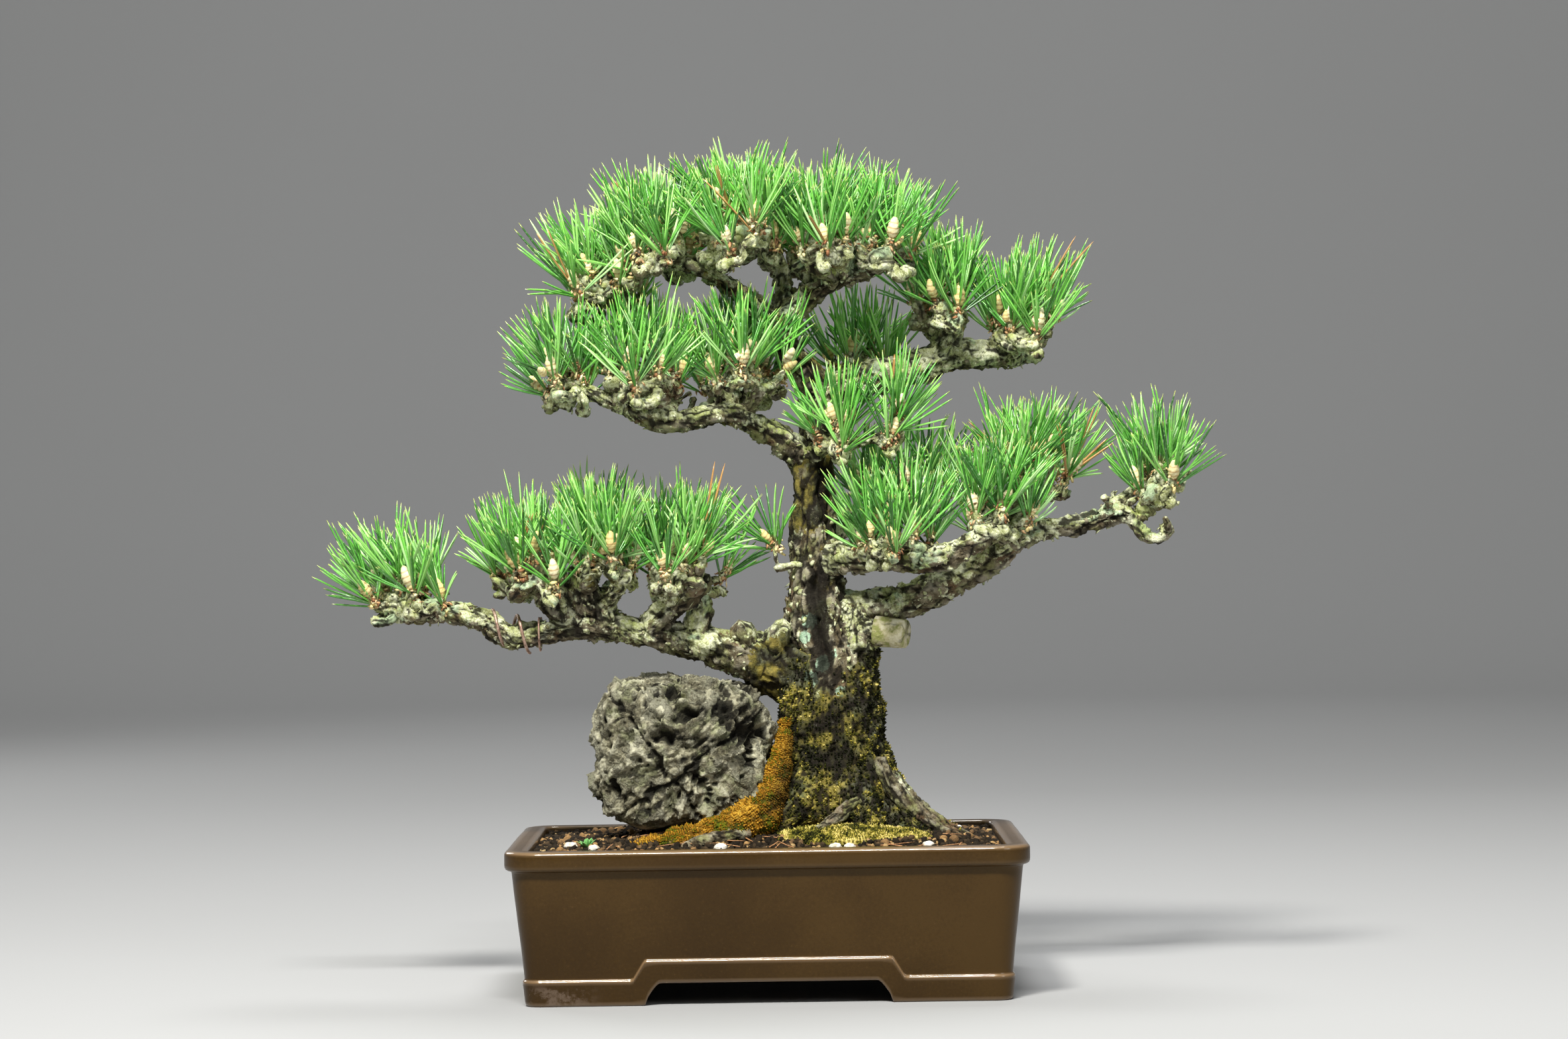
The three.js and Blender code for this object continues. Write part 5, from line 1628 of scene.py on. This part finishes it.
def windWire(shells, middle, turn, reach, girth, sides):
    # a wire wound about a line along X: middle + reach * (0, cos turn, sin turn)
    line = middle + np.hstack([0 * turn, reach * np.cos(turn), reach * np.sin(turn)])
    bends = np.hstack([line, np.full((len(line), 1), girth)])
    points, faces, _, _, _ = wrapTube(bends, 0.9, sides)
    shells.add(points, faces)


def makeWires():
    # the training wire and its tie; gives back their copper
    finish = wireFinish()
    shells = Shells()
    share = np.linspace(0, 1, 60)[:, None]
    start, end = np.array(wires["start"], float), np.array(wires["end"], float)
    turn = share * wires["turns"] * fullTurn
    reach = wires["reach"] + 0.35 * np.sin(turn * 2.3 + 1)
    windWire(shells, start + (end - start) * share, turn, reach, wires["girth"], 10)
    share = np.linspace(0, 1, 40)[:, None]
    turn = share * fullTurn * wires["tieTurns"] + 0.4
    reach = wires["tieReach"] + 0.3 * np.sin(turn * 3)
    middle = np.array(wires["tieMiddle"], float) + share * [1.6, 0, 0]
    windWire(shells, middle, turn, reach, wires["tieGirth"], 8)
    shells.piece("training_wires", finish, "wire", "training_wire")
    return finish


def netFinish():
    # black plastic, rubbed a little grey
    finish = Finish("black_net", Roughness=0.55, Specular_IOR_Level=0.4)
    rub = finish.noise(260, 4, 0.65)
    tone = finish.ramp(rub, (0.4, (0.010, 0.011, 0.010)), (0.6, (0.03, 0.032, 0.03)),
                       (0.75, (0.09, 0.085, 0.075)))
    return finish.finish(Base_Color=tone, Normal=finish.bump(rub, 0.0004, 0.6))


def dressCadNodes(copper):
    # the drain screens and their clips show as their CAD solids, with a material of their own
    net = netFinish()
    for side in ("left", "right"):
        for name, finish in (("drain_screen_", net), ("screen_clip_", copper)):
            for slot in bpy.data.objects[name + side].material_slots:
                slot.material = finish


mossy = makeTrunk()
print("trunk is carved")
tuftPlaces = makeNeedles()
makeBuds(tuftPlaces)
print("needles and buds are set")
makeBranches(tuftPlaces)
makeTrunkShoot(tuftPlaces)
print("branches and twigs are grown")
makeRock()
makeSoil()
makePebbles()
makeMoss(mossy)
makeDebris()
print("rock, soil and moss are laid")
makeTray()
copper = makeWires()
dressCadNodes(copper)
print("tray and wires are made")
